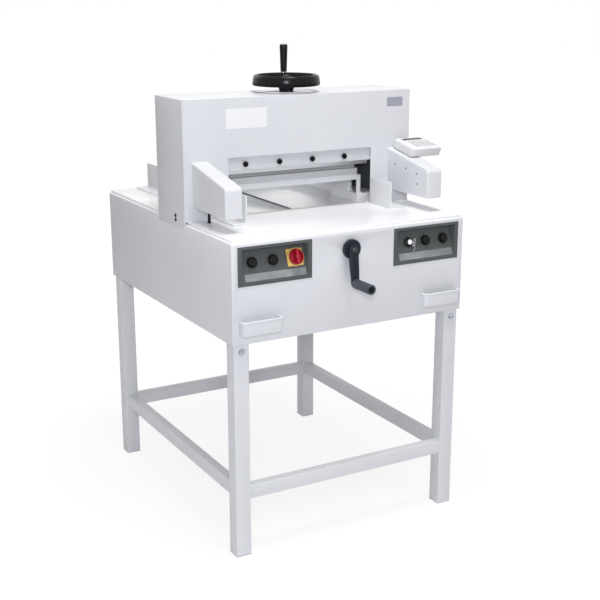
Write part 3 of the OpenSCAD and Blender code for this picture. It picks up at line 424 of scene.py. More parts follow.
CASE = Finish("display_case", (0.80, 0.805, 0.81), (0.77, 0.775, 0.78), (0.36, 0.46), fine=1400.0, bump=0.2)
SCREEN = Finish("display_screen", (0.03, 0.033, 0.032), (0.022, 0.025, 0.024), (0.2, 0.3), patch=40.0,
                specular=0.3)
KEYS = Finish("key_film", (0.58, 0.59, 0.60), (0.42, 0.43, 0.44), (0.4, 0.5), fine=1600.0, bump=0.2)
FOOT = Finish("foot_plastic", (0.56, 0.57, 0.58), (0.50, 0.51, 0.52), (0.45, 0.6), fine=1300.0, bump=0.3)
PLATE = Finish("blank_plate", (0.40, 0.40, 0.47), (0.36, 0.36, 0.43), (0.26, 0.36), fine=600.0, bump=0.06)
MARK = Finish("white_mark", (0.90, 0.90, 0.90), (0.86, 0.86, 0.86), (0.4, 0.5), fine=1500.0)
LENS = Finish("lens_plastic", (0.05, 0.035, 0.04), (0.04, 0.028, 0.03), (0.08, 0.16), coat=0.8, bump=0.03)


class Piece:
    """A modelled object, shaped with Blender's own operators."""

    def __init__(self, obj: bpy.types.Object, name: str) -> None:
        """Take over a new object and name it."""
        self.obj = obj
        obj.name = obj.data.name = name

    @staticmethod
    def clear() -> None:
        """Leave edit mode and deselect everything."""
        if bpy.context.mode != "OBJECT":
            bpy.ops.object.mode_set(mode="OBJECT")
        bpy.ops.object.select_all(action="DESELECT")

    @staticmethod
    def settle() -> None:
        """Put the selected objects' place and turn into their meshes."""
        bpy.ops.object.transform_apply(location=True, rotation=True, scale=True)

    @classmethod
    def made(cls, add: Callable[..., object], name: str, **options: object) -> "Piece":
        """Make a piece with an operator.

        Args:
            add: The operator.
            name: The new object's name.
            options: What the operator takes, in metres.

        Returns:
            The new piece.
        """
        cls.clear()
        add(**options)
        cls.settle()
        return cls(bpy.context.object, name)

    @classmethod
    def box(cls, name: str, lo: Point, hi: Point) -> "Piece":
        """A block between two points of the machine."""
        low, high = place(*lo), place(*hi)
        return cls.made(bpy.ops.mesh.primitive_cube_add, name, size=1.0, location=(low + high) / 2,
                        scale=high - low)

    @classmethod
    def slab(cls, name: str, size: Point, middle: Point, tilt: float) -> "Piece":
        """A block of a size about a point, tilted about X by an angle in degrees."""
        return cls.made(bpy.ops.mesh.primitive_cube_add, name, size=1.0, location=place(*middle),
                        rotation=(math.radians(tilt), 0.0, 0.0), scale=Vector(size) * MM)

    @classmethod
    def prism(cls, name: str, middle: Point, radius: float, length: float, axis: Axis, sides: int) -> "Piece":
        """A bar about a point, with a regular section and a length along an axis."""
        return cls.made(bpy.ops.mesh.primitive_cylinder_add, name, vertices=sides, radius=radius * MM,
                        depth=length * MM, location=place(*middle), rotation=axis.value)

    @classmethod
    def line(cls, points: Sequence[Vector]) -> bpy.types.Object:
        """Draw a chain of edges from one vertex.

        Args:
            points: The chain's points, in metres.

        Returns:
            The object, left in edit mode with all of it selected.
        """
        cls.clear()
        bpy.ops.mesh.primitive_plane_add(size=MM)
        obj = bpy.context.object
        bpy.ops.object.mode_set(mode="EDIT")
        bpy.context.tool_settings.mesh_select_mode = (True, False, False)
        bpy.ops.mesh.select_all(action="SELECT")
        bpy.ops.mesh.merge(type="CENTER")
        bpy.ops.transform.translate(value=points[0])
        for here, there in zip(points, points[1:]):
            bpy.ops.mesh.extrude_region_move(TRANSFORM_OT_translate={"value": there - here})
        bpy.ops.mesh.select_all(action="SELECT")
        return obj

    @staticmethod
    def outward() -> None:
        """Turn the faces of the mesh in edit mode outward."""
        bpy.ops.mesh.select_all(action="SELECT")
        bpy.ops.mesh.normals_make_consistent(inside=False)

    @classmethod
    def lathe(cls, name: str, profile: Profile, base: Point, axis: Axis, steps: int) -> "Piece":
        """Turn a profile about an axis.

        Args:
            name: The new object's name.
            profile: Pairs of a radius and a height from the base.
            base: The machine point that the heights start from.
            axis: The way the heights go.
            steps: The sides of the round.

        Returns:
            The turned piece.
        """
        obj = cls.line([Vector((radius, 0.0, height)) * MM for radius, height in profile])
        bpy.ops.mesh.spin(steps=steps, angle=2 * math.pi, center=(0.0, 0.0, 0.0), axis=(0.0, 0.0, 1.0))
        bpy.ops.mesh.select_all(action="SELECT")
        bpy.ops.mesh.remove_doubles(threshold=WELD)
        bpy.ops.mesh.delete_loose()
        cls.outward()
        bpy.ops.object.mode_set(mode="OBJECT")
        obj.rotation_euler = axis.value
        obj.location = place(*base)
        cls.settle()
        return cls(obj, name)

    @classmethod
    def sweep(cls, name: str, path: Sequence[Point], move: Point, fill: bool = False) -> "Piece":
        """Draw out a path.

        Args:
            name: The new object's name.
            path: The path's points.
            move: How far it is drawn out.
            fill: Whether the path is an outline that is filled first.

        Returns:
            The new piece.
        """
        obj = cls.line([place(*point) for point in path])
        if fill:
            bpy.ops.mesh.edge_face_add()
        bpy.ops.mesh.extrude_region_move(TRANSFORM_OT_translate={"value": [way * MM for way in move]})
        cls.outward()
        bpy.ops.object.mode_set(mode="OBJECT")
        return cls(obj, name)

    @classmethod
    def strip(cls, name: str, path: Sequence[Point], rise: float, thickness: float) -> "Piece":
        """A strip of metal that follows a path and stands up along Z."""
        sheet = cls.sweep(name, path, (0.0, 0.0, rise))
        return sheet.modify("SOLIDIFY", thickness=thickness * MM, offset=0.0)

    @classmethod
    def slug(cls, name: str, outline: Sequence[Point], width: float) -> "Piece":
        """A solid from an outline that is filled and drawn out along X by a width."""
        return cls.sweep(name, outline, (width, 0.0, 0.0), fill=True)

    @classmethod
    def node(cls, node: str, name: str) -> "Piece":
        """Copy a CAD node and make its flat faces whole.

        Args:
            node: The node's name.
            name: The copy's name.

        Returns:
            The working copy.
        """
        cls.clear()
        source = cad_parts[node]
        source.select_set(True)
        bpy.context.view_layer.objects.active = source
        bpy.ops.object.duplicate()
        obj = bpy.context.object
        obj.parent = None
        for key in list(obj.keys()):
            del obj[key]
        piece = cls(obj, name)
        bpy.ops.object.mode_set(mode="EDIT")
        bpy.ops.mesh.select_all(action="SELECT")
        bpy.ops.mesh.remove_doubles(threshold=CAD_WELD)
        bpy.ops.mesh.dissolve_limited(angle_limit=FLAT)
        bpy.ops.object.mode_set(mode="OBJECT")
        return piece

    def grab(self, *others: "Piece") -> bpy.types.Object:
        """Select only this object and others, in object mode, with this one active.

        Args:
            others: The other pieces.

        Returns:
            The object.
        """
        self.clear()
        for piece in (self, *others):
            piece.obj.select_set(True)
        bpy.context.view_layer.objects.active = self.obj
        return self.obj

    def run(self, operator: Callable[..., object], **options: object) -> "Piece":
        """Run an operator on what is selected, and go back to object mode.

        Args:
            operator: The operator.
            options: What it takes.

        Returns:
            This piece.
        """
        operator(**options)
        bpy.ops.object.mode_set(mode="OBJECT")
        return self

    def pick(self, edges: Test | None = None, faces: Test | None = None) -> "Piece":
        """Enter edit mode with the edges or faces that pass a test selected.

        Args:
            edges: A test of an edge's two ends.
            faces: A test of a face's centre and normal.

        Returns:
            This piece.
        """
        mesh = self.grab().data
        bpy.context.tool_settings.mesh_select_mode = (False, edges is not None, edges is None)
        for items in (mesh.vertices, mesh.edges, mesh.polygons):
            items.foreach_set("select", [False] * len(items))
        if edges is not None:
            spots = [vertex.co / MM - SHIFT for vertex in mesh.vertices]
            passed = [edge for edge in mesh.edges if edges(*(spots[i] for i in edge.vertices))]
        else:
            passed = [face for face in mesh.polygons if faces(face.center / MM - SHIFT, face.normal)]
        for item in passed:
            item.select = True
        if not passed:
            LOG.warning("%s: nothing picked", self.obj.name)
        bpy.ops.object.mode_set(mode="EDIT")
        return self

    def bevel(self, test: Test, width: float, segments: int = 4) -> "Piece":
        """Round the edges that pass a test by a width."""
        return self.pick(edges=test).run(bpy.ops.mesh.bevel, offset=width * MM, segments=segments,
                                         affect="EDGES", clamp_overlap=True)

    def sink(self, test: Test, rim: float, depth: float, each: bool = False) -> "Piece":
        """Inset the faces that pass a test and push them in.

        Args:
            test: A test of a face's centre and normal.
            rim: The width left round the faces.
            depth: How far the inside goes in. Below zero it stands out.
            each: Whether each face is inset on its own.

        Returns:
            This piece.
        """
        self.pick(faces=test)
        bpy.ops.mesh.inset(thickness=rim * MM, depth=0.0, use_individual=each)
        return self.run(bpy.ops.mesh.inset, thickness=DRAFT * MM, depth=-depth * MM, use_individual=each)

    def squeeze(self, test: Test, scale: Point) -> "Piece":
        """Scale the faces that pass a test about their middle."""
        return self.pick(faces=test).run(bpy.ops.transform.resize, value=scale)

    def modify(self, kind: str, **settings: object) -> "Piece":
        """Run a modifier on the piece.

        Args:
            kind: The modifier's type.
            settings: Its properties by name.

        Returns:
            This piece.
        """
        modifier = self.grab().modifiers.new(kind.lower(), kind)
        for key, value in settings.items():
            setattr(modifier, key, value)
        bpy.ops.object.modifier_apply(modifier=modifier.name)
        return self

    def soften(self, width: float, segments: int = 2) -> "Piece":
        """Break all the sharp edges by a small width."""
        return self.modify("BEVEL", width=width * MM, segments=segments, limit_method="ANGLE",
                           angle_limit=SHARP)

    def cut(self, tool: "Piece") -> "Piece":
        """Take another piece's shape out of this one, and remove that piece.

        Args:
            tool: The other piece.

        Returns:
            This piece.
        """
        self.modify("BOOLEAN", operation="DIFFERENCE", object=tool.obj)
        bpy.data.objects.remove(tool.obj, do_unlink=True)
        return self

    def join(self, *others: "Piece") -> "Piece":
        """Take other pieces into this one."""
        self.grab(*others)
        return self.run(bpy.ops.object.join)

    def copy(self, name: str, move: Point = (0.0, 0.0, 0.0), turn: float = 0.0,
             about: Point | None = None) -> "Piece":
        """Copy this piece with its own mesh.

        Args:
            name: The copy's name.
            move: How far it goes.
            turn: How far it turns about Z, in degrees.
            about: The machine point that it turns about.

        Returns:
            The copy.
        """
        self.grab()
        bpy.ops.object.duplicate()
        bpy.ops.transform.translate(value=Vector(move) * MM)
        if about is not None:
            bpy.ops.transform.rotate(value=math.radians(turn), orient_axis="Z", center_override=place(*about))
        self.settle()
        return Piece(bpy.context.object, name)

    def row(self, moves: dict[str, Point]) -> list["Piece"]:
        """This piece and a copy of it for each name and move."""
        return [self, *(self.copy(name, move) for name, move in moves.items())]

    def dress(self, finish: Finish, slot: str, *nodes: str, body: str = "machine") -> "Piece":
        """Finish the piece and hang it on the frame.

        Args:
            finish: The finish it gets.
            slot: Not used.
            nodes: The CAD nodes that it stands for.
            body: The body that it moves with.

        Returns:
            This piece.
        """
        self.grab()
        bpy.ops.object.shade_smooth_by_angle(angle=SMOOTH)
        self.obj.data.materials.clear()
        self.obj.data.materials.append(finish.material())
        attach(self.obj, body)
        if nodes:
            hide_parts(*nodes)
        LOG.info("%s: %d faces in %s, on %s", self.obj.name, len(self.obj.data.polygons), finish.name, body)
        return self


def soft(node: str, name: str, width: float, finish: Finish, slot: str, body: str = "machine",
         segments: int = 2) -> Piece:
    """A CAD node's copy with softened edges, dressed in the node's place."""
    return Piece.node(node, name).soften(width, segments).dress(finish, slot, node, body=body)


def keep(finish: Finish, *nodes: str) -> None:
    """Give CAD nodes that stay as they are a finish.

    Args:
        finish: The finish.
        nodes: The nodes' names.
    """
    for node in nodes:
        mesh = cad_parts[node].data
        mesh.materials.clear()
        mesh.materials.append(finish.material())
        LOG.info("%s: kept, in %s", node, finish.name)


@dataclass
class Stand:
    """Tube legs, stretchers, feet and the bolts that hold the legs."""

    tube_round: float = 2.2
    least_run: float = 150.0
    leg: Pair = (346.5, 421.5)
    leg_half: float = 22.5
    rail_z: Pair = (170.0, 210.0)
    bolt_z: float = 603.0
    bolt_r: float = 7.4
    bolt_h: float = 3.8
    bolt_out: float = 3.5
    bolt_pad: Pair = (1.2, -0.5)
    washer: Profile = ((0, 0), (9.5, 0), (9.5, 1.2), (9.1, 1.6), (0, 1.6))

    def build(self) -> None:
        """Model the stand."""
        legs = Piece.node("legs", "leg_tubes").bevel(self.corner, self.tube_round)
        legs.dress(PAINT, "stand_paint", "legs")
        rails = Piece.node("stretchers", "stretcher_tubes").bevel(self.ridge, self.tube_round)
        rails.dress(PAINT, "stand_paint", "stretchers")
        soft("leg_caps", "leg_feet", 0.8, FOOT, "foot_plastic")
        for row, axis in (("front", Axis.FRONT), ("rear", Axis.BACK)):
            for side in Side:
                self.bolt(f"leg_bolt_{row}_{side.hand}", side, axis)

    def corner(self, a: Vector, b: Vector) -> bool:
        """Whether an edge is an outer corner of a leg."""
        off = max(abs(abs(abs(v[i]) - self.leg[i]) - self.leg_half) for v in (a, b) for i in (0, 1))
        return off < SAME and abs(a.z - b.z) > self.least_run

    def ridge(self, a: Vector, b: Vector) -> bool:
        """Whether an edge is an outer long edge of a stretcher."""
        return all(any(near(v.z, z) for z in self.rail_z) for v in (a, b)) and (a - b).length > self.least_run

    def bolt(self, name: str, side: Side, axis: Axis) -> None:
        """Model one hexagon bolt with its washer.

        Args:
            name: The bolt's name.
            side: The side it is on.
            axis: The way its head points.
        """
        way = -1 if axis is Axis.FRONT else 1
        x, y = side.value * self.leg[0], way * (self.leg[1] + self.leg_half)
        washer = Piece.lathe(name, self.washer, (x, y, self.bolt_z), axis, 40)
        middle = (x, y + way * self.bolt_out, self.bolt_z)
        head = Piece.prism("head", middle, self.bolt_r, self.bolt_h, axis, 6)
        head.sink(facing(0, way, 0), *self.bolt_pad).soften(0.35)
        washer.join(head).dress(ZINC, "machined_steel", "leg_bolts")


@dataclass
class Cabinet:
    """Folded panels of the cabinet and its two pull handles."""

    half: float = 375.0
    front: float = -450.0
    fold: float = 1.6
    least_run: float = 200.0
    handle_x: float = 294.5
    handle_half: float = 60.0
    handle_z: float = 652.0
    handle_h: float = 40.0
    handle_t: float = 3.0
    corner: float = 10.0
    reach: float = 23.5
    bead: float = 6.0
    bead_lap: float = 2.0

    def build(self) -> None:
        """Model the panels and handles."""
        panel = Piece.node("cabinet_front", "front_panel").bevel(self.outer, self.fold)
        panel.soften(0.4).dress(PAINT, "housing_paint", "cabinet_front")
        soft("cabinet_sides", "side_panels", 0.5, PAINT, "housing_paint")
        soft("cabinet_rear", "rear_panel", 0.4, PAINT, "housing_paint")
        for side in Side:
            self.handle(side)
        keep(FRAME, "base_frame")
        keep(BLACK, "power_inlet")

    def outer(self, a: Vector, b: Vector) -> bool:
        """Whether an edge is an upright fold of the front panel."""
        fold = near(abs(a.x), self.half) and near(a.y, self.front) and near(b.y, self.front)
        return fold and abs(a.z - b.z) > self.least_run

    def handle(self, side: Side) -> None:
        """Bend one pull handle from a strip with a rolled upper edge.

        Args:
            side: The side it is on.
        """
        low, high = (side.value * (self.handle_x + end * self.handle_half) for end in (-1, 1))
        z, out = self.handle_z, self.front - self.reach
        corners = ((low, self.front, z), (low, out, z), (high, out, z), (high, self.front, z))
        path = rounded(corners, self.corner)
        strip = Piece.strip(f"pull_handle_{side.hand}", path, self.handle_h - self.bead_lap, self.handle_t)
        lip = self.handle_h - self.bead
        roll = Piece.strip("roll", [(x, y, z + lip) for x, y, z in path], self.bead, self.bead).soften(2.4, 4)
        strip.soften(0.9, 3).join(roll).dress(PAINT, "housing_paint", "pull_handles")


@dataclass
class Table:
    """Folded table trays, the rim round them, the ground bed and the cutting stick."""

    top: float = 908.0
    fold: float = 1.8
    least_run: float = 250.0
    seat: float = 897.0
    rim_h: float = 4.6
    rim_half: Pair = (374.5, 449.5)
    rim_w: float = 4.3
    rim_round: float = 3.6

    def build(self) -> None:
        """Model the table."""
        self.rim()
        front = Piece.node("table_front", "front_table").bevel(self.outer, self.fold).soften(0.5)
        front.dress(SHEET, "table_paint", "table_front")
        soft("side_tables", "side_trays", 0.6, SHEET, "table_paint")
        soft("bed", "steel_bed", 0.35, BED, "bed_steel")
        soft("cutting_stick", "stick", 0.5, STICK, "stick_plastic")
        keep(CAST, "bed_beams", "uprights", "crossbeam")

    def outer(self, a: Vector, b: Vector) -> bool:
        """Whether an edge is a long one of the table's top."""
        return near(a.z, self.top) and near(b.z, self.top) and (a - b).length > self.least_run

    def rim(self) -> None:
        """Model the rounded rim that runs round the table on the cabinet's panels."""
        x, y = self.rim_half
        crest = self.seat + self.rim_h
        rim = Piece.box("table_rim", (-x, -y, self.seat), (x, y, crest))
        rim.cut(Piece.box("inside", (self.rim_w - x, self.rim_w - y, self.seat - 1.0),
                          (x - self.rim_w, y - self.rim_w, crest + 1.0)))
        rim.bevel(lambda a, b: all(near(v.z, crest) and near(abs(v.x), x) for v in (a, b)), self.rim_round, 6)
        rim.dress(SHEET, "table_paint")


@dataclass
class Housing:
    """The cover over the knife and clamp, with its plates and screws."""

    half: float = 377.5
    front: float = -163.0
    top: float = 1247.0
    fold: float = 2.2
    least_run: float = 100.0
    front_plate: tuple[Pair, Pair] = ((-245.0, 1160.0), (-115.0, 1216.0))
    type_plate: tuple[Pair, Pair] = ((294.0, 1198.0), (350.0, 1225.0))
    plate_t: float = 0.5
    plate_corner: float = 3.0
    plate_dish: Pair = (1.5, 0.12)
    screw_at: Pair = (-100.0, 918.5)
    screw_gap: float = 12.5
    screw: Profile = ((0, 1.4), (2.8, 1.4), (2.8, 2.4), (4.2, 2.2), (5.2, 1.4), (5.5, 0.3), (5.5, -0.2),
                      (0, -0.2))

    def build(self) -> None:
        """Model the housing."""
        cover = Piece.node("upper_cover", "cover").bevel(self.outer, self.fold, 5).soften(0.6)
        cover.dress(PAINT, "housing_paint", "upper_cover")
        soft("rear_cover", "back_cover", 0.5, PAINT, "housing_paint")
        self.plate("front_plate", *self.front_plate, MARK)
        self.plate("type_plate", *self.type_plate, PLATE)
        for side in Side:
            self.screws(side)

    def outer(self, a: Vector, b: Vector) -> bool:
        """Whether an edge is one of the long outer folds."""
        on = [(near(abs(v.x), self.half), near(v.y, self.front), near(v.z, self.top)) for v in (a, b)]
        return sum(p and q for p, q in zip(*on)) >= 2 and (a - b).length > self.least_run

    def plate(self, name: str, low: Pair, high: Pair, finish: Finish) -> None:
        """Lay one blank plate on the front.

        Args:
            name: The plate's name.
            low: X and Z of its lower left corner.
            high: X and Z of its upper right corner.
            finish: Its finish.
        """
        plate = Piece.box(name, (low[0], self.front - self.plate_t, low[1]), (high[0], self.front, high[1]))
        plate.bevel(short_edge(1.0), self.plate_corner).sink(facing(0, -1, 0), *self.plate_dish)
        plate.dress(finish, "housing_paint")

    def screws(self, side: Side) -> None:
        """Model the two screws at the foot of one side.

        Args:
            side: The side they are on.
        """
        name = f"cover_screw_{side.hand}"
        spot = (side.value * self.half, *self.screw_at)
        first = Piece.lathe(f"{name}_upper", self.screw, spot, Axis[side.name], 40)
        for screw in first.row({f"{name}_lower": (0.0, 0.0, -self.screw_gap)}):
            screw.dress(BLACK_STEEL, "black_steel")


@dataclass
class KnifeUnit:
    """The knife's carrier, blade, bolts and drive."""

    bolt_at: Point = (-183.0, -157.0, 1057.5)
    pitch: float = 110.0
    count: int = 4
    head_r: float = 8.0
    head_h: float = 5.0
    socket_r: float = 4.0
    socket_h: float = 6.0
    shank: Profile = ((0, 0), (6, 0), (6, -25), (0, -25))

    def build(self) -> None:
        """Model the knife and finish its drive."""
        soft("knife_carrier", "carrier", 0.8, CARRIER, "machined_steel", "knife")
        soft("knife_blade", "blade", 0.15, BLADE, "knife_steel", "knife")
        self.bolts()
        keep(CAST, "pull_rod", "crank_disc")
        keep(BRONZE, "knife_guides")
        keep(DRIVE, "knife_gearbox", "knife_motor")
        keep(PAINT, "electrical_box")

    def bolts(self) -> None:
        """Model one socket bolt and copy it along the knife."""
        x, y, z = self.bolt_at
        middle = (x, y - self.head_h / 2, z)
        head = Piece.prism("knife_bolt_0", middle, self.head_r, self.head_h, Axis.FRONT, 48)
        socket = Piece.prism("socket", (x, y - self.head_h, z), self.socket_r, self.socket_h, Axis.FRONT, 6)
        head.soften(0.7).cut(socket).join(Piece.lathe("shank", self.shank, self.bolt_at, Axis.FRONT, 40))
        moves = {f"knife_bolt_{i}": (i * self.pitch, 0.0, 0.0) for i in range(1, self.count)}
        for bolt in head.row(moves):
            bolt.dress(BLACK_STEEL, "black_steel", "knife_bolts", body="knife")


@dataclass
class ClampUnit:
    """The clamp, its spindle and the hand wheel on top."""

    axis_y: float = -68.0
    hub_z: float = 1251.0
    rim_z: float = 1265.5
    spoke_x: Pair = (18.0, 86.0)
    spoke_half: float = 13.0
    spoke_z: Pair = (11.25, 20.25)
    spoke_tip: Point = (1.0, 0.78, 0.9)
    spoke_round: float = 3.0
    spoke_turns: Point = (66.0, 186.0, 306.0)
    grip: Point = (37.01, 15.13, 1299.0)
    rim: Profile = ((86, 2.2), (88, 0.6), (92, 0), (97, 0.4), (99.4, 2.2), (100, 5), (99.2, 15), (98, 23),
                    (96.6, 27.2), (94, 30.2), (91, 31.5), (88, 31), (85.8, 29.4), (84.6, 26.4), (84, 21),
                    (84.4, 10.5), (86, 2.2))
    hub: Profile = ((12.05, 0), (20, 0), (21, 0.8), (22.6, 5), (26.4, 13), (27, 15), (25.6, 31), (24.4, 37),
                    (22.6, 39), (13, 39), (11, 37.6), (0, 37.6), (0, 35.2), (12.05, 35.2), (12.05, 0))
    pin: Profile = ((0, -6), (8.4, -6), (8.4, -1.2), (7.8, -0.6), (5, -0.6), (5, 71), (0, 71))
    knob: Profile = ((5.05, 0), (8.6, 0), (9.5, 0.9), (9.8, 9), (10.4, 28), (11.2, 54), (11.8, 70),
                     (12, 75.5), (11.5, 78.6), (10.4, 80.2), (9.2, 80.6), (8.8, 79.8), (0, 79.8), (0, 73),
                     (5.05, 73), (5.05, 0))
    cap: Profile = ((0, 83.4), (4, 83.2), (6.8, 82.4), (8.3, 81), (8.7, 79.6), (8.7, 79), (0, 79))

    def build(self) -> None:
        """Model the clamp and its wheel."""
        soft("clamp_beam", "clamp_bar", 0.8, CLAMP, "clamp_paint", "clamp")
        soft("clamp_sole", "clamp_foot", 0.8, SOLE, "clamp_aluminium", "clamp")
        keep(BRONZE, "clamp_nut")
        keep(STEEL, "clamp_rods")
        keep(SPINDLE_Z, "clamp_spindle")
        self.wheel()
        self.handle()

    def wheel(self) -> None:
        """Turn the rim and hub, and set three spokes between them."""
        middle = (0.0, self.axis_y, self.rim_z)
        rim = Piece.lathe("wheel_body", self.rim, middle, Axis.UP, 96)
        hub = Piece.lathe("hub", self.hub, (0.0, self.axis_y, self.hub_z), Axis.UP, 72)
        low, high = ((x, self.axis_y + way * self.spoke_half, self.rim_z + z)
                     for x, z, way in zip(self.spoke_x, self.spoke_z, (-1, 1)))
        spoke = Piece.box("spoke", low, high).squeeze(facing(1, 0, 0), self.spoke_tip)
        spoke.bevel(long_edge(40.0), self.spoke_round)
        spokes = [spoke.copy("spoke", turn=turn, about=middle) for turn in self.spoke_turns]
        bpy.data.objects.remove(spoke.obj, do_unlink=True)
        rim.join(hub, *spokes).dress(WHEEL, "black_plastic", "hand_wheel", body="wheel")
        Piece.lathe("pin", self.pin, self.grip, Axis.UP, 40).dress(CHROME, "lock_chrome", body="wheel")

    def handle(self) -> None:
        """Turn the grip with its end cap."""
        grip = Piece.lathe("wheel_knob", self.knob, self.grip, Axis.UP, 56)
        grip.dress(BLACK, "black_plastic", "wheel_grip", body="wheel_handle")
        cap = Piece.lathe("knob_cap", self.cap, self.grip, Axis.UP, 40)
        cap.dress(FOOT, "foot_plastic", body="wheel_handle")


@dataclass
class BackGauge:
    """The back gauge under and on the bed, and its crank at the front."""

    boss_at: Point = (-11.0, -470.0, 850.0)
    grip_at: Point = (-11.0, -521.5, 757.0)
    plug_at: Point = (-11.0, -555.2, 757.0)
    grip_r: float = 13.7
    grip_l: float = 77.0
    bore_r: float = 5.05
    bore_l: float = 90.0
    skin_r: float = 12.0
    recess: Pair = (4.0, 8.0)
    flute: Pair = (0.25, -0.3)
    boss: Profile = ((0, 5.4), (3, 5.1), (5.6, 4.2), (7.6, 2.6), (8.6, 0.6), (8.6, -1), (0, -1))
    plug: Profile = ((0, 2.2), (3, 2.2), (8.6, 3.0), (9.5, 2.4), (9.5, 0), (0, 0))

    def build(self) -> None:
        """Model the fence and the crank."""
        soft("back_gauge", "fence", 0.9, ALUMINIUM, "clamp_aluminium", "gauge")
        keep(CAST, "gauge_carriage")
        keep(STEEL, "gauge_rods")
        keep(SPINDLE_Y, "gauge_spindle")
        keep(BLACK_STEEL, "bearings")
        soft("crank_handle", "crank_arm", 1.2, CRANK, "crank_plastic", "crank", 3)
        boss = Piece.lathe("crank_boss", self.boss, self.boss_at, Axis.FRONT, 48)
        boss.dress(BOSS, "crank_plastic", body="crank")
        grip = Piece.prism("crank_knob", self.grip_at, self.grip_r, self.grip_l, Axis.FRONT, 48)
        grip.sink(facing(0, -1, 0), *self.recess).sink(self.skin, *self.flute, True)
        grip.cut(Piece.prism("bore", self.grip_at, self.bore_r, self.bore_l, Axis.FRONT, 48))
        grip.soften(0.35).dress(GRIP, "crank_plastic", "crank_grip", body="crank_knob")
        # The black plug in the grip's hollow end is painted shade: it darkens the end where the hollow is in
        # shade.
        plug = Piece.lathe("crank_knob_plug", self.plug, self.plug_at, Axis.FRONT, 48)
        plug.dress(BLACK, "black_plastic", body="crank_knob")

    def skin(self, c: Vector, n: Vector) -> bool:
        """Whether a face is on the round outside of the crank's grip."""
        x, _, z = self.grip_at
        return abs(n.y) < 0.1 and (c - Vector((x, c.y, z))).length > self.skin_r


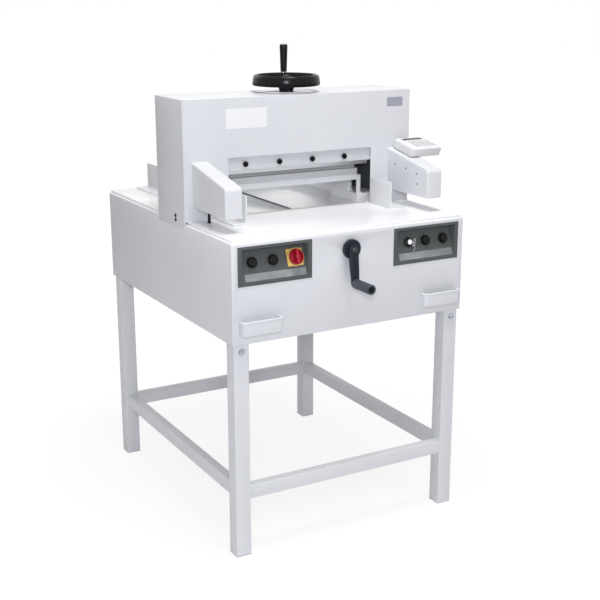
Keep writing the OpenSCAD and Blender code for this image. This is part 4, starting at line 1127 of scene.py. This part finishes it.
@dataclass
class Guards:
    """The light-barrier arms with their lenses, the post under the left one, and the display unit."""

    inner: float = 300.0
    width: float = 52.0
    length: float = 209.0
    bottom: float = 947.0
    notch: float = 13.0
    top: float = 1074.0
    slope: float = 0.20096
    front: float = -163.0
    clear: float = 50.0
    tip_round: float = 11.0
    arm_round: float = 5.0
    lens_at: Sequence[Pair] = ((-206.0, 1030.0), (-261.0, 1023.0), (-316.0, 1014.0), (-320.0, 984.0))
    lens: Profile = ((0, 1.0), (1.2, 0.85), (2.1, 0.4), (2.5, 0.1), (2.8, 0.1), (2.8, -1.5), (0, -1.5))
    post_at: Point = (-319.0, -199.0, 908.0)
    post: Profile = ((0, 0), (6.2, 0), (6.2, 1.4), (5.4, 2.2), (4.2, 2.6), (3.9, 4), (3.9, 35), (4.6, 36.2),
                     (4.6, 39), (0, 39))
    case_h: float = 28.0
    case_rise: Pair = (20.0, 40.0)
    case_corner: float = 7.0
    case_edge: float = 2.2
    foot: Point = (32.0, 94.0, 1.7)
    foot_at: Point = (330.0, 60.3, -26.8)
    bezel: Point = (78.0, 22.0, 0.8)
    bezel_at: Point = (372.0, 25.0, 0.3)
    screen: Point = (68.0, 15.0, 0.8)
    screen_at: Point = (371.0, 25.0, 0.6)
    screen_dish: Pair = (0.8, 0.2)
    key: Point = (11.0, 8.0, 1.6)
    key_at: Point = (349.0, 46.0, 0.4)
    key_tip: Point = (0.9, 0.88, 1.0)
    key_rows: int = 4
    key_columns: int = 5
    key_pitch: Pair = (15.0, 13.0)

    def build(self) -> None:
        """Model the arms and what they carry."""
        for side in Side:
            self.arm(side)
            self.lenses(side)
        post = Piece.lathe("arm_post", self.post, self.post_at, Axis.UP, 32)
        post.dress(BLACK_STEEL, "black_steel", "arm_fittings")
        self.display()
        self.keys()

    def arm(self, side: Side) -> None:
        """Draw one arm from its side outline and round its edges.

        Args:
            side: The side it is on.
        """
        x = self.inner if side is Side.RIGHT else -self.inner - self.width
        front, bottom, tip = self.front, self.bottom, self.front - self.length
        arm = Piece.slug(f"barrier_arm_{side.hand}", (
            (x, front, self.top), (x, tip, self.top - self.slope * self.length), (x, tip, bottom),
            (x, front - self.notch, bottom), (x, front, bottom + self.notch)), self.width)
        arm.bevel(lambda a, b: near(a.y, tip) and near(b.y, tip) and min(a.z, b.z) > bottom + self.clear,
                  self.tip_round, 6)
        arm.bevel(self.sharp, self.arm_round, 6).dress(PAINT, "housing_paint", f"arm_{side.hand}")

    def sharp(self, a: Vector, b: Vector) -> bool:
        """Whether an edge off the housing is still sharp, or runs along a side of the rounded front."""
        low, back = max(a.z, b.z) < self.bottom + self.clear, max(a.y, b.y) > self.front - self.clear
        return not (near(a.y, self.front) and near(b.y, self.front)) and (near(a.x, b.x) or low or back)

    def lenses(self, side: Side) -> None:
        """Model one arm's lenses.

        Args:
            side: The arm's side.
        """
        axis = Axis.LEFT if side is Side.RIGHT else Axis.RIGHT
        (y, z), *others = self.lens_at
        first = Piece.lathe(f"lens_{side.hand}_0", self.lens, (side.value * self.inner, y, z), axis, 32)
        moves = {f"lens_{side.hand}_{i}": (0.0, spot[0] - y, spot[1] - z) for i, spot in enumerate(others, 1)}
        for lens in first.row(moves):
            lens.dress(LENS, "black_plastic", "arm_fittings")

    def flat(self, name: str, size: Point, spot: Point) -> Piece:
        """Lay a slab along the display's sloping top.

        Args:
            name: The slab's name.
            size: Its size.
            spot: Its middle's X, its distance from the housing and its height over the top.

        Returns:
            The slab.
        """
        (x, depth, lift), tilt = spot, math.atan(self.slope)
        middle = (x, self.front - depth - lift * math.sin(tilt),
                  self.top - self.slope * depth + self.case_h + lift * math.cos(tilt))
        return Piece.slab(name, size, middle, math.degrees(tilt))

    def display(self) -> None:
        """Model the display's case, bezel and screen, and a dark strip of painted shadow under the case."""
        low, high = self.case_rise
        case = Piece.node("display_unit", "display_case")
        case.bevel(lambda a, b: low < abs(a.z - b.z) < high and (a - b).length < high, self.case_corner, 5)
        case.bevel(lambda a, b: self.over(a) and self.over(b), self.case_edge, 3).soften(0.6)
        case.dress(CASE, "display_plastic", "display_unit")
        # The dark strip under the case is painted shadow: it stands in for the shade line between the case
        # and the arm.
        foot = self.flat("display_foot", self.foot, self.foot_at).bevel(short_edge(2.0), 3.0)
        foot.soften(0.3).dress(PANEL, "panel_plastic")
        bezel = self.flat("display_bezel", self.bezel, self.bezel_at)
        bezel.bevel(short_edge(1.0), 3.0).dress(CASE, "display_plastic")
        screen = self.flat("display_screen", self.screen, self.screen_at).bevel(short_edge(1.0), 1.5)
        screen.sink(facing(0, 0, 1), *self.screen_dish).dress(SCREEN, "black_plastic")

    def keys(self) -> None:
        """Model one key and copy it to the other places."""
        first = self.flat("display_key_0_0", self.key, self.key_at)
        first.squeeze(facing(0, 0, 1), self.key_tip).soften(0.5)
        across, down = self.key_pitch
        step = Vector((0.0, -down, -down * self.slope))
        moves = {f"display_key_{row}_{column}": tuple(step * row + Vector((across * column, 0.0, 0.0)))
                 for row in range(self.key_rows) for column in range(self.key_columns) if row or column}
        for key in first.row(moves):
            key.dress(KEYS, "display_plastic")

    def over(self, v: Vector) -> bool:
        """Whether a point is on the display's top face."""
        return abs(self.top + self.slope * (v.y - self.front) + self.case_h - v.z) < 0.3


@dataclass
class Guides:
    """The paper guides and the side lays."""

    edge: float = 0.9
    lay_edge: float = 0.8

    def build(self) -> None:
        """Model the guides."""
        soft("front_guides", "guides_front", self.edge, PAINT, "table_paint", segments=3)
        soft("rear_guides", "guides_rear", self.edge, PAINT, "table_paint", segments=3)
        soft("side_lays", "lays", self.lay_edge, PAINT, "table_paint")


@dataclass
class Controls:
    """The two recessed panels, whose floors lean back, with their switch, lock and buttons."""

    panel_x: float = 245.0
    tilt: float = 19.0
    floor: float = -431.284
    height: float = 841.0
    label: Point = (186.0, 0.5, 20.0)
    label_at: Point = (5.0, -39.9, 0.25)
    label_corner: float = 2.0
    label_dish: Pair = (1.2, 0.12)
    button_x: Sequence[tuple[str, float]] = (("left_outer", -306.0), ("left_inner", -243.0),
                                             ("right_inner", 254.0), ("right_outer", 316.0))
    switch_x: float = -177.0
    plate_t: float = 2.5
    plate_edge: Pair = (2.0, 3.0)
    plate_half: float = 20.0
    plate_corner: float = 4.0
    lock_x: float = 195.0
    bar: Point = (12.0, 17.0, 41.0)
    bar_out: float = 15.6
    bar_tip: Point = (0.72, 1.0, 0.94)
    cap: Profile = ((0, 8.6), (6.5, 8.7), (9.3, 9.1), (10.8, 9.5), (11.7, 9.1), (12, 8.3), (12, 4.5),
                    (6, 4.5), (6, -10), (0, -10))
    collar: Profile = ((12.5, 0), (14.75, 0), (14.75, 4.6), (14.3, 5.6), (13.7, 6), (13, 6), (12.5, 5.4),
                       (12.5, 0))
    ring: Profile = ((22, 0), (25.5, 0), (25.3, 6), (24.6, 7.4), (23.4, 7.8), (22.4, 7.4), (22, 6.4), (22, 0))
    disc: Profile = ((0, 5), (15.6, 5), (17.4, 6.4), (18.2, 12.8), (19, 14), (20.4, 13.6), (21.5, 12),
                     (21.5, 0.3), (5, 0.3), (5, -5), (0, -5))
    lock_ring: Profile = ((8.6, 0), (14.5, 0), (14.5, 2.4), (13.7, 3.6), (10.4, 4), (8.6, 3.8), (8.6, 0))
    barrel: Profile = ((0, -21), (4.55, -21), (4.55, 9.8), (5.1, 10.6), (6, 11), (7.4, 10.8), (8.2, 9.8),
                       (8.5, 8.4), (8.5, 0), (6.3, 0), (6.3, -25), (0, -25))

    def build(self) -> None:
        """Model the panels and what they carry."""
        soft("control_panels", "panels", 0.8, PANEL, "panel_plastic")
        right, up, out = self.label_at
        for side in Side:
            spot = self.spot(side.value * self.panel_x + right, up, out)
            label = Piece.slab(f"label_{side.hand}", self.label, spot, -self.tilt)
            label.bevel(short_edge(0.6), self.label_corner).sink(facing(0, -1, 0), *self.label_dish)
            label.dress(LABEL, "panel_plastic")
        self.buttons()
        self.switch()
        self.lock()

    def spot(self, x: float, up: float, out: float) -> Point:
        """The machine point up the floor from the row of controls, and out of the floor."""
        lean = math.radians(self.tilt)
        return (x, self.floor + up * math.sin(lean) - out * math.cos(lean),
                self.height + up * math.cos(lean) + out * math.sin(lean))

    def buttons(self) -> None:
        """Turn one button and one collar, and copy them to the other places."""
        start, left = self.button_x[0]
        spot = self.spot(left, 0.0, 0.0)
        cap = Piece.lathe(f"cap_{start}", self.cap, spot, Axis.PANEL, 64)
        ring = Piece.lathe(f"collar_{start}", self.collar, spot, Axis.PANEL, 64)
        for name, x in self.button_x:
            move = (x - left, 0.0, 0.0)
            button = cap if name == start else cap.copy(f"cap_{name}", move)
            collar = ring if name == start else ring.copy(f"collar_{name}", move)
            button.dress(BLACK, "black_plastic", f"{name}_button", body=f"button_{name}")
            collar.dress(BLACK, "black_plastic", "button_collars")

    def switch(self) -> None:
        """Model the main switch's plate, ring and knob."""
        plate = Piece.node("switch_plate", "switch_cover").bevel(self.upright, self.plate_corner)
        plate.soften(0.5).dress(YELLOW, "yellow_plastic", "switch_plate")
        spot = self.spot(self.switch_x, 0.0, self.plate_t)
        Piece.lathe("switch_ring", self.ring, spot, Axis.PANEL, 64).dress(YELLOW, "yellow_plastic")
        disc = Piece.lathe("switch_disc", self.disc, spot, Axis.PANEL, 64)
        bar = Piece.slab("bar", self.bar, self.spot(self.switch_x, 0.0, self.bar_out), -self.tilt)
        bar.squeeze(facing(0, -1, 0), self.bar_tip).bevel(long_edge(4.0), 1.8)
        disc.join(bar).dress(RED, "red_plastic", "switch_knob", body="main_switch")

    def upright(self, a: Vector, b: Vector) -> bool:
        """Whether an edge goes through the switch plate at its outside."""
        low, high = self.plate_edge
        return low < (a - b).length < high and abs(a.x - self.switch_x) > self.plate_half

    def lock(self) -> None:
        """Model the key lock and its keys."""
        spot = self.spot(self.lock_x, 0.0, 0.0)
        ring = Piece.lathe("lock_collar", self.lock_ring, spot, Axis.PANEL, 56)
        ring.dress(BLACK, "black_plastic", "button_collars")
        barrel = Piece.lathe("lock_body", self.barrel, spot, Axis.PANEL, 56)
        barrel.dress(CHROME, "lock_chrome", "lock_barrel")
        keep(CHROME, "key")
        soft("spare_key", "key_on_ring", 0.2, CHROME, "lock_chrome", "hanging_key")


@dataclass(frozen=True)
class Light:
    """A soft square light that looks at the machine."""

    name: str
    spot: Point
    size: float
    power: float
    color: Color = WHITE
    target: Point = (0.0, 0.0, 0.8)

    def hang(self) -> None:
        """Hang the light."""
        Piece.clear()
        bpy.ops.object.light_add(type="AREA", location=self.spot)
        lamp = bpy.context.object
        lamp.name = f"light_{self.name}"
        lamp.rotation_euler = aim(self.spot, self.target)
        lamp.data.size = self.size
        lamp.data.energy = self.power
        lamp.data.color = self.color


@dataclass
class Studio:
    """The camera, lights, floor and backdrop."""

    lens: float = 66.276
    sensor: float = 36.0
    eye: Point = (-1.6164, -2.9062, 1.5230)
    target: Point = (0.0626, 0.055, 0.5815)
    lights: Sequence[Light] = (Light("key", (-1.7, -3.1, 1.9), 0.55, 42.0, (0.91, 0.92, 1.0)),
                               Light("top", (-0.1, -1.0, 4.1), 1.3, 70.0),
                               Light("rear", (-1.0, 3.1, 2.8), 2.0, 11.0))
    room_light: float = 0.40
    floor_size: float = 40.0
    floor_color: Color = (0.86, 0.86, 0.86)
    floor_shade: Color = (0.84, 0.84, 0.85)
    floor_fine: float = 300.0
    floor_patch: float = 1.5
    # The floor glows as well as taking light. The glow is painted light, weaker near the machine than far
    # off.
    glow_share: float = 0.78
    glow_from: Pair = (0.7, 3.0)
    glow: Pair = (1.08, 1.25)

    def build(self) -> None:
        """Set the stage."""
        self.camera()
        self.world()
        self.floor()
        for light in self.lights:
            light.hang()
        bpy.context.scene.view_settings.view_transform = "Standard"

    def camera(self) -> None:
        """Set the camera where the photograph was taken from."""
        Piece.clear()
        bpy.ops.object.camera_add(location=self.eye)
        camera = bpy.context.object
        camera.name = "camera"
        camera.rotation_euler = aim(self.eye, self.target)
        camera.data.lens = self.lens
        camera.data.sensor_width = self.sensor
        bpy.context.scene.camera = camera

    def world(self) -> None:
        """Light the room evenly, with a white backdrop behind the machine."""
        world = bpy.data.worlds.new("room")
        bpy.context.scene.world = world
        world.use_nodes = True
        wires = Wires(world.node_tree)
        rays = wires.add("ShaderNodeLightPath").outputs
        seen = wires.reckon("MAXIMUM", rays["Is Camera Ray"], rays["Is Transmission Ray"])
        shiny = wires.reckon("MAXIMUM", seen, rays["Is Glossy Ray"])
        room, white = (wires.add("ShaderNodeBackground", Color=(*WHITE, 1.0), Strength=strength).outputs[0]
                       for strength in (self.room_light, 1.0))
        mix = wires.add("ShaderNodeMixShader", i0=shiny, i1=room, i2=white)
        wires.add("ShaderNodeOutputWorld", Surface=mix.outputs[0])

    def floor(self) -> None:
        """Lay a pale floor that keeps the machine's shadow."""
        Piece.clear()
        bpy.ops.mesh.primitive_plane_add(size=self.floor_size, location=(0.0, 0.0, -MM))
        floor = bpy.context.object
        floor.name = "floor"
        material = bpy.data.materials.new("pale_floor")
        material.use_nodes = True
        wires = Wires(material.node_tree)
        coords = wires.add("ShaderNodeTexCoord").outputs["Object"]
        marks = wires.group(Marks.surface(), Vector=coords, Run=Run.EVEN.value, Fine=self.floor_fine,
                            Patch=self.floor_patch)
        tint = wires.blend(marks.outputs["Patches"], self.floor_color, self.floor_shade)
        matt = wires.add("ShaderNodeBsdfDiffuse", Color=tint)
        # Painted light: the floor's glow grows with the distance from the machine, so the floor is darker
        # round it.
        far = wires.add("ShaderNodeVectorMath", {"operation": "LENGTH"}, i0=coords)
        strength = wires.ramp(far.outputs["Value"], *self.glow_from, *self.glow)
        glow = wires.add("ShaderNodeEmission", Color=(*WHITE, 1.0), Strength=strength)
        seen = wires.add("ShaderNodeLightPath").outputs["Is Camera Ray"]
        share = wires.reckon("MULTIPLY", seen, self.glow_share)
        mix = wires.add("ShaderNodeMixShader", i0=share, i1=matt.outputs[0], i2=glow.outputs[0])
        wires.add("ShaderNodeOutputMaterial", Surface=mix.outputs[0])
        floor.data.materials.append(material)


def main() -> None:
    """Build every sub-assembly and the studio."""
    logging.basicConfig(level=logging.INFO, format="%(message)s")
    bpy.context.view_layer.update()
    for part in (Stand(), Cabinet(), Table(), Housing(), KnifeUnit(), ClampUnit(), BackGauge(), Guards(),
                 Guides(), Controls(), Studio()):
        part.build()


if __name__ == "__main__":
    main()
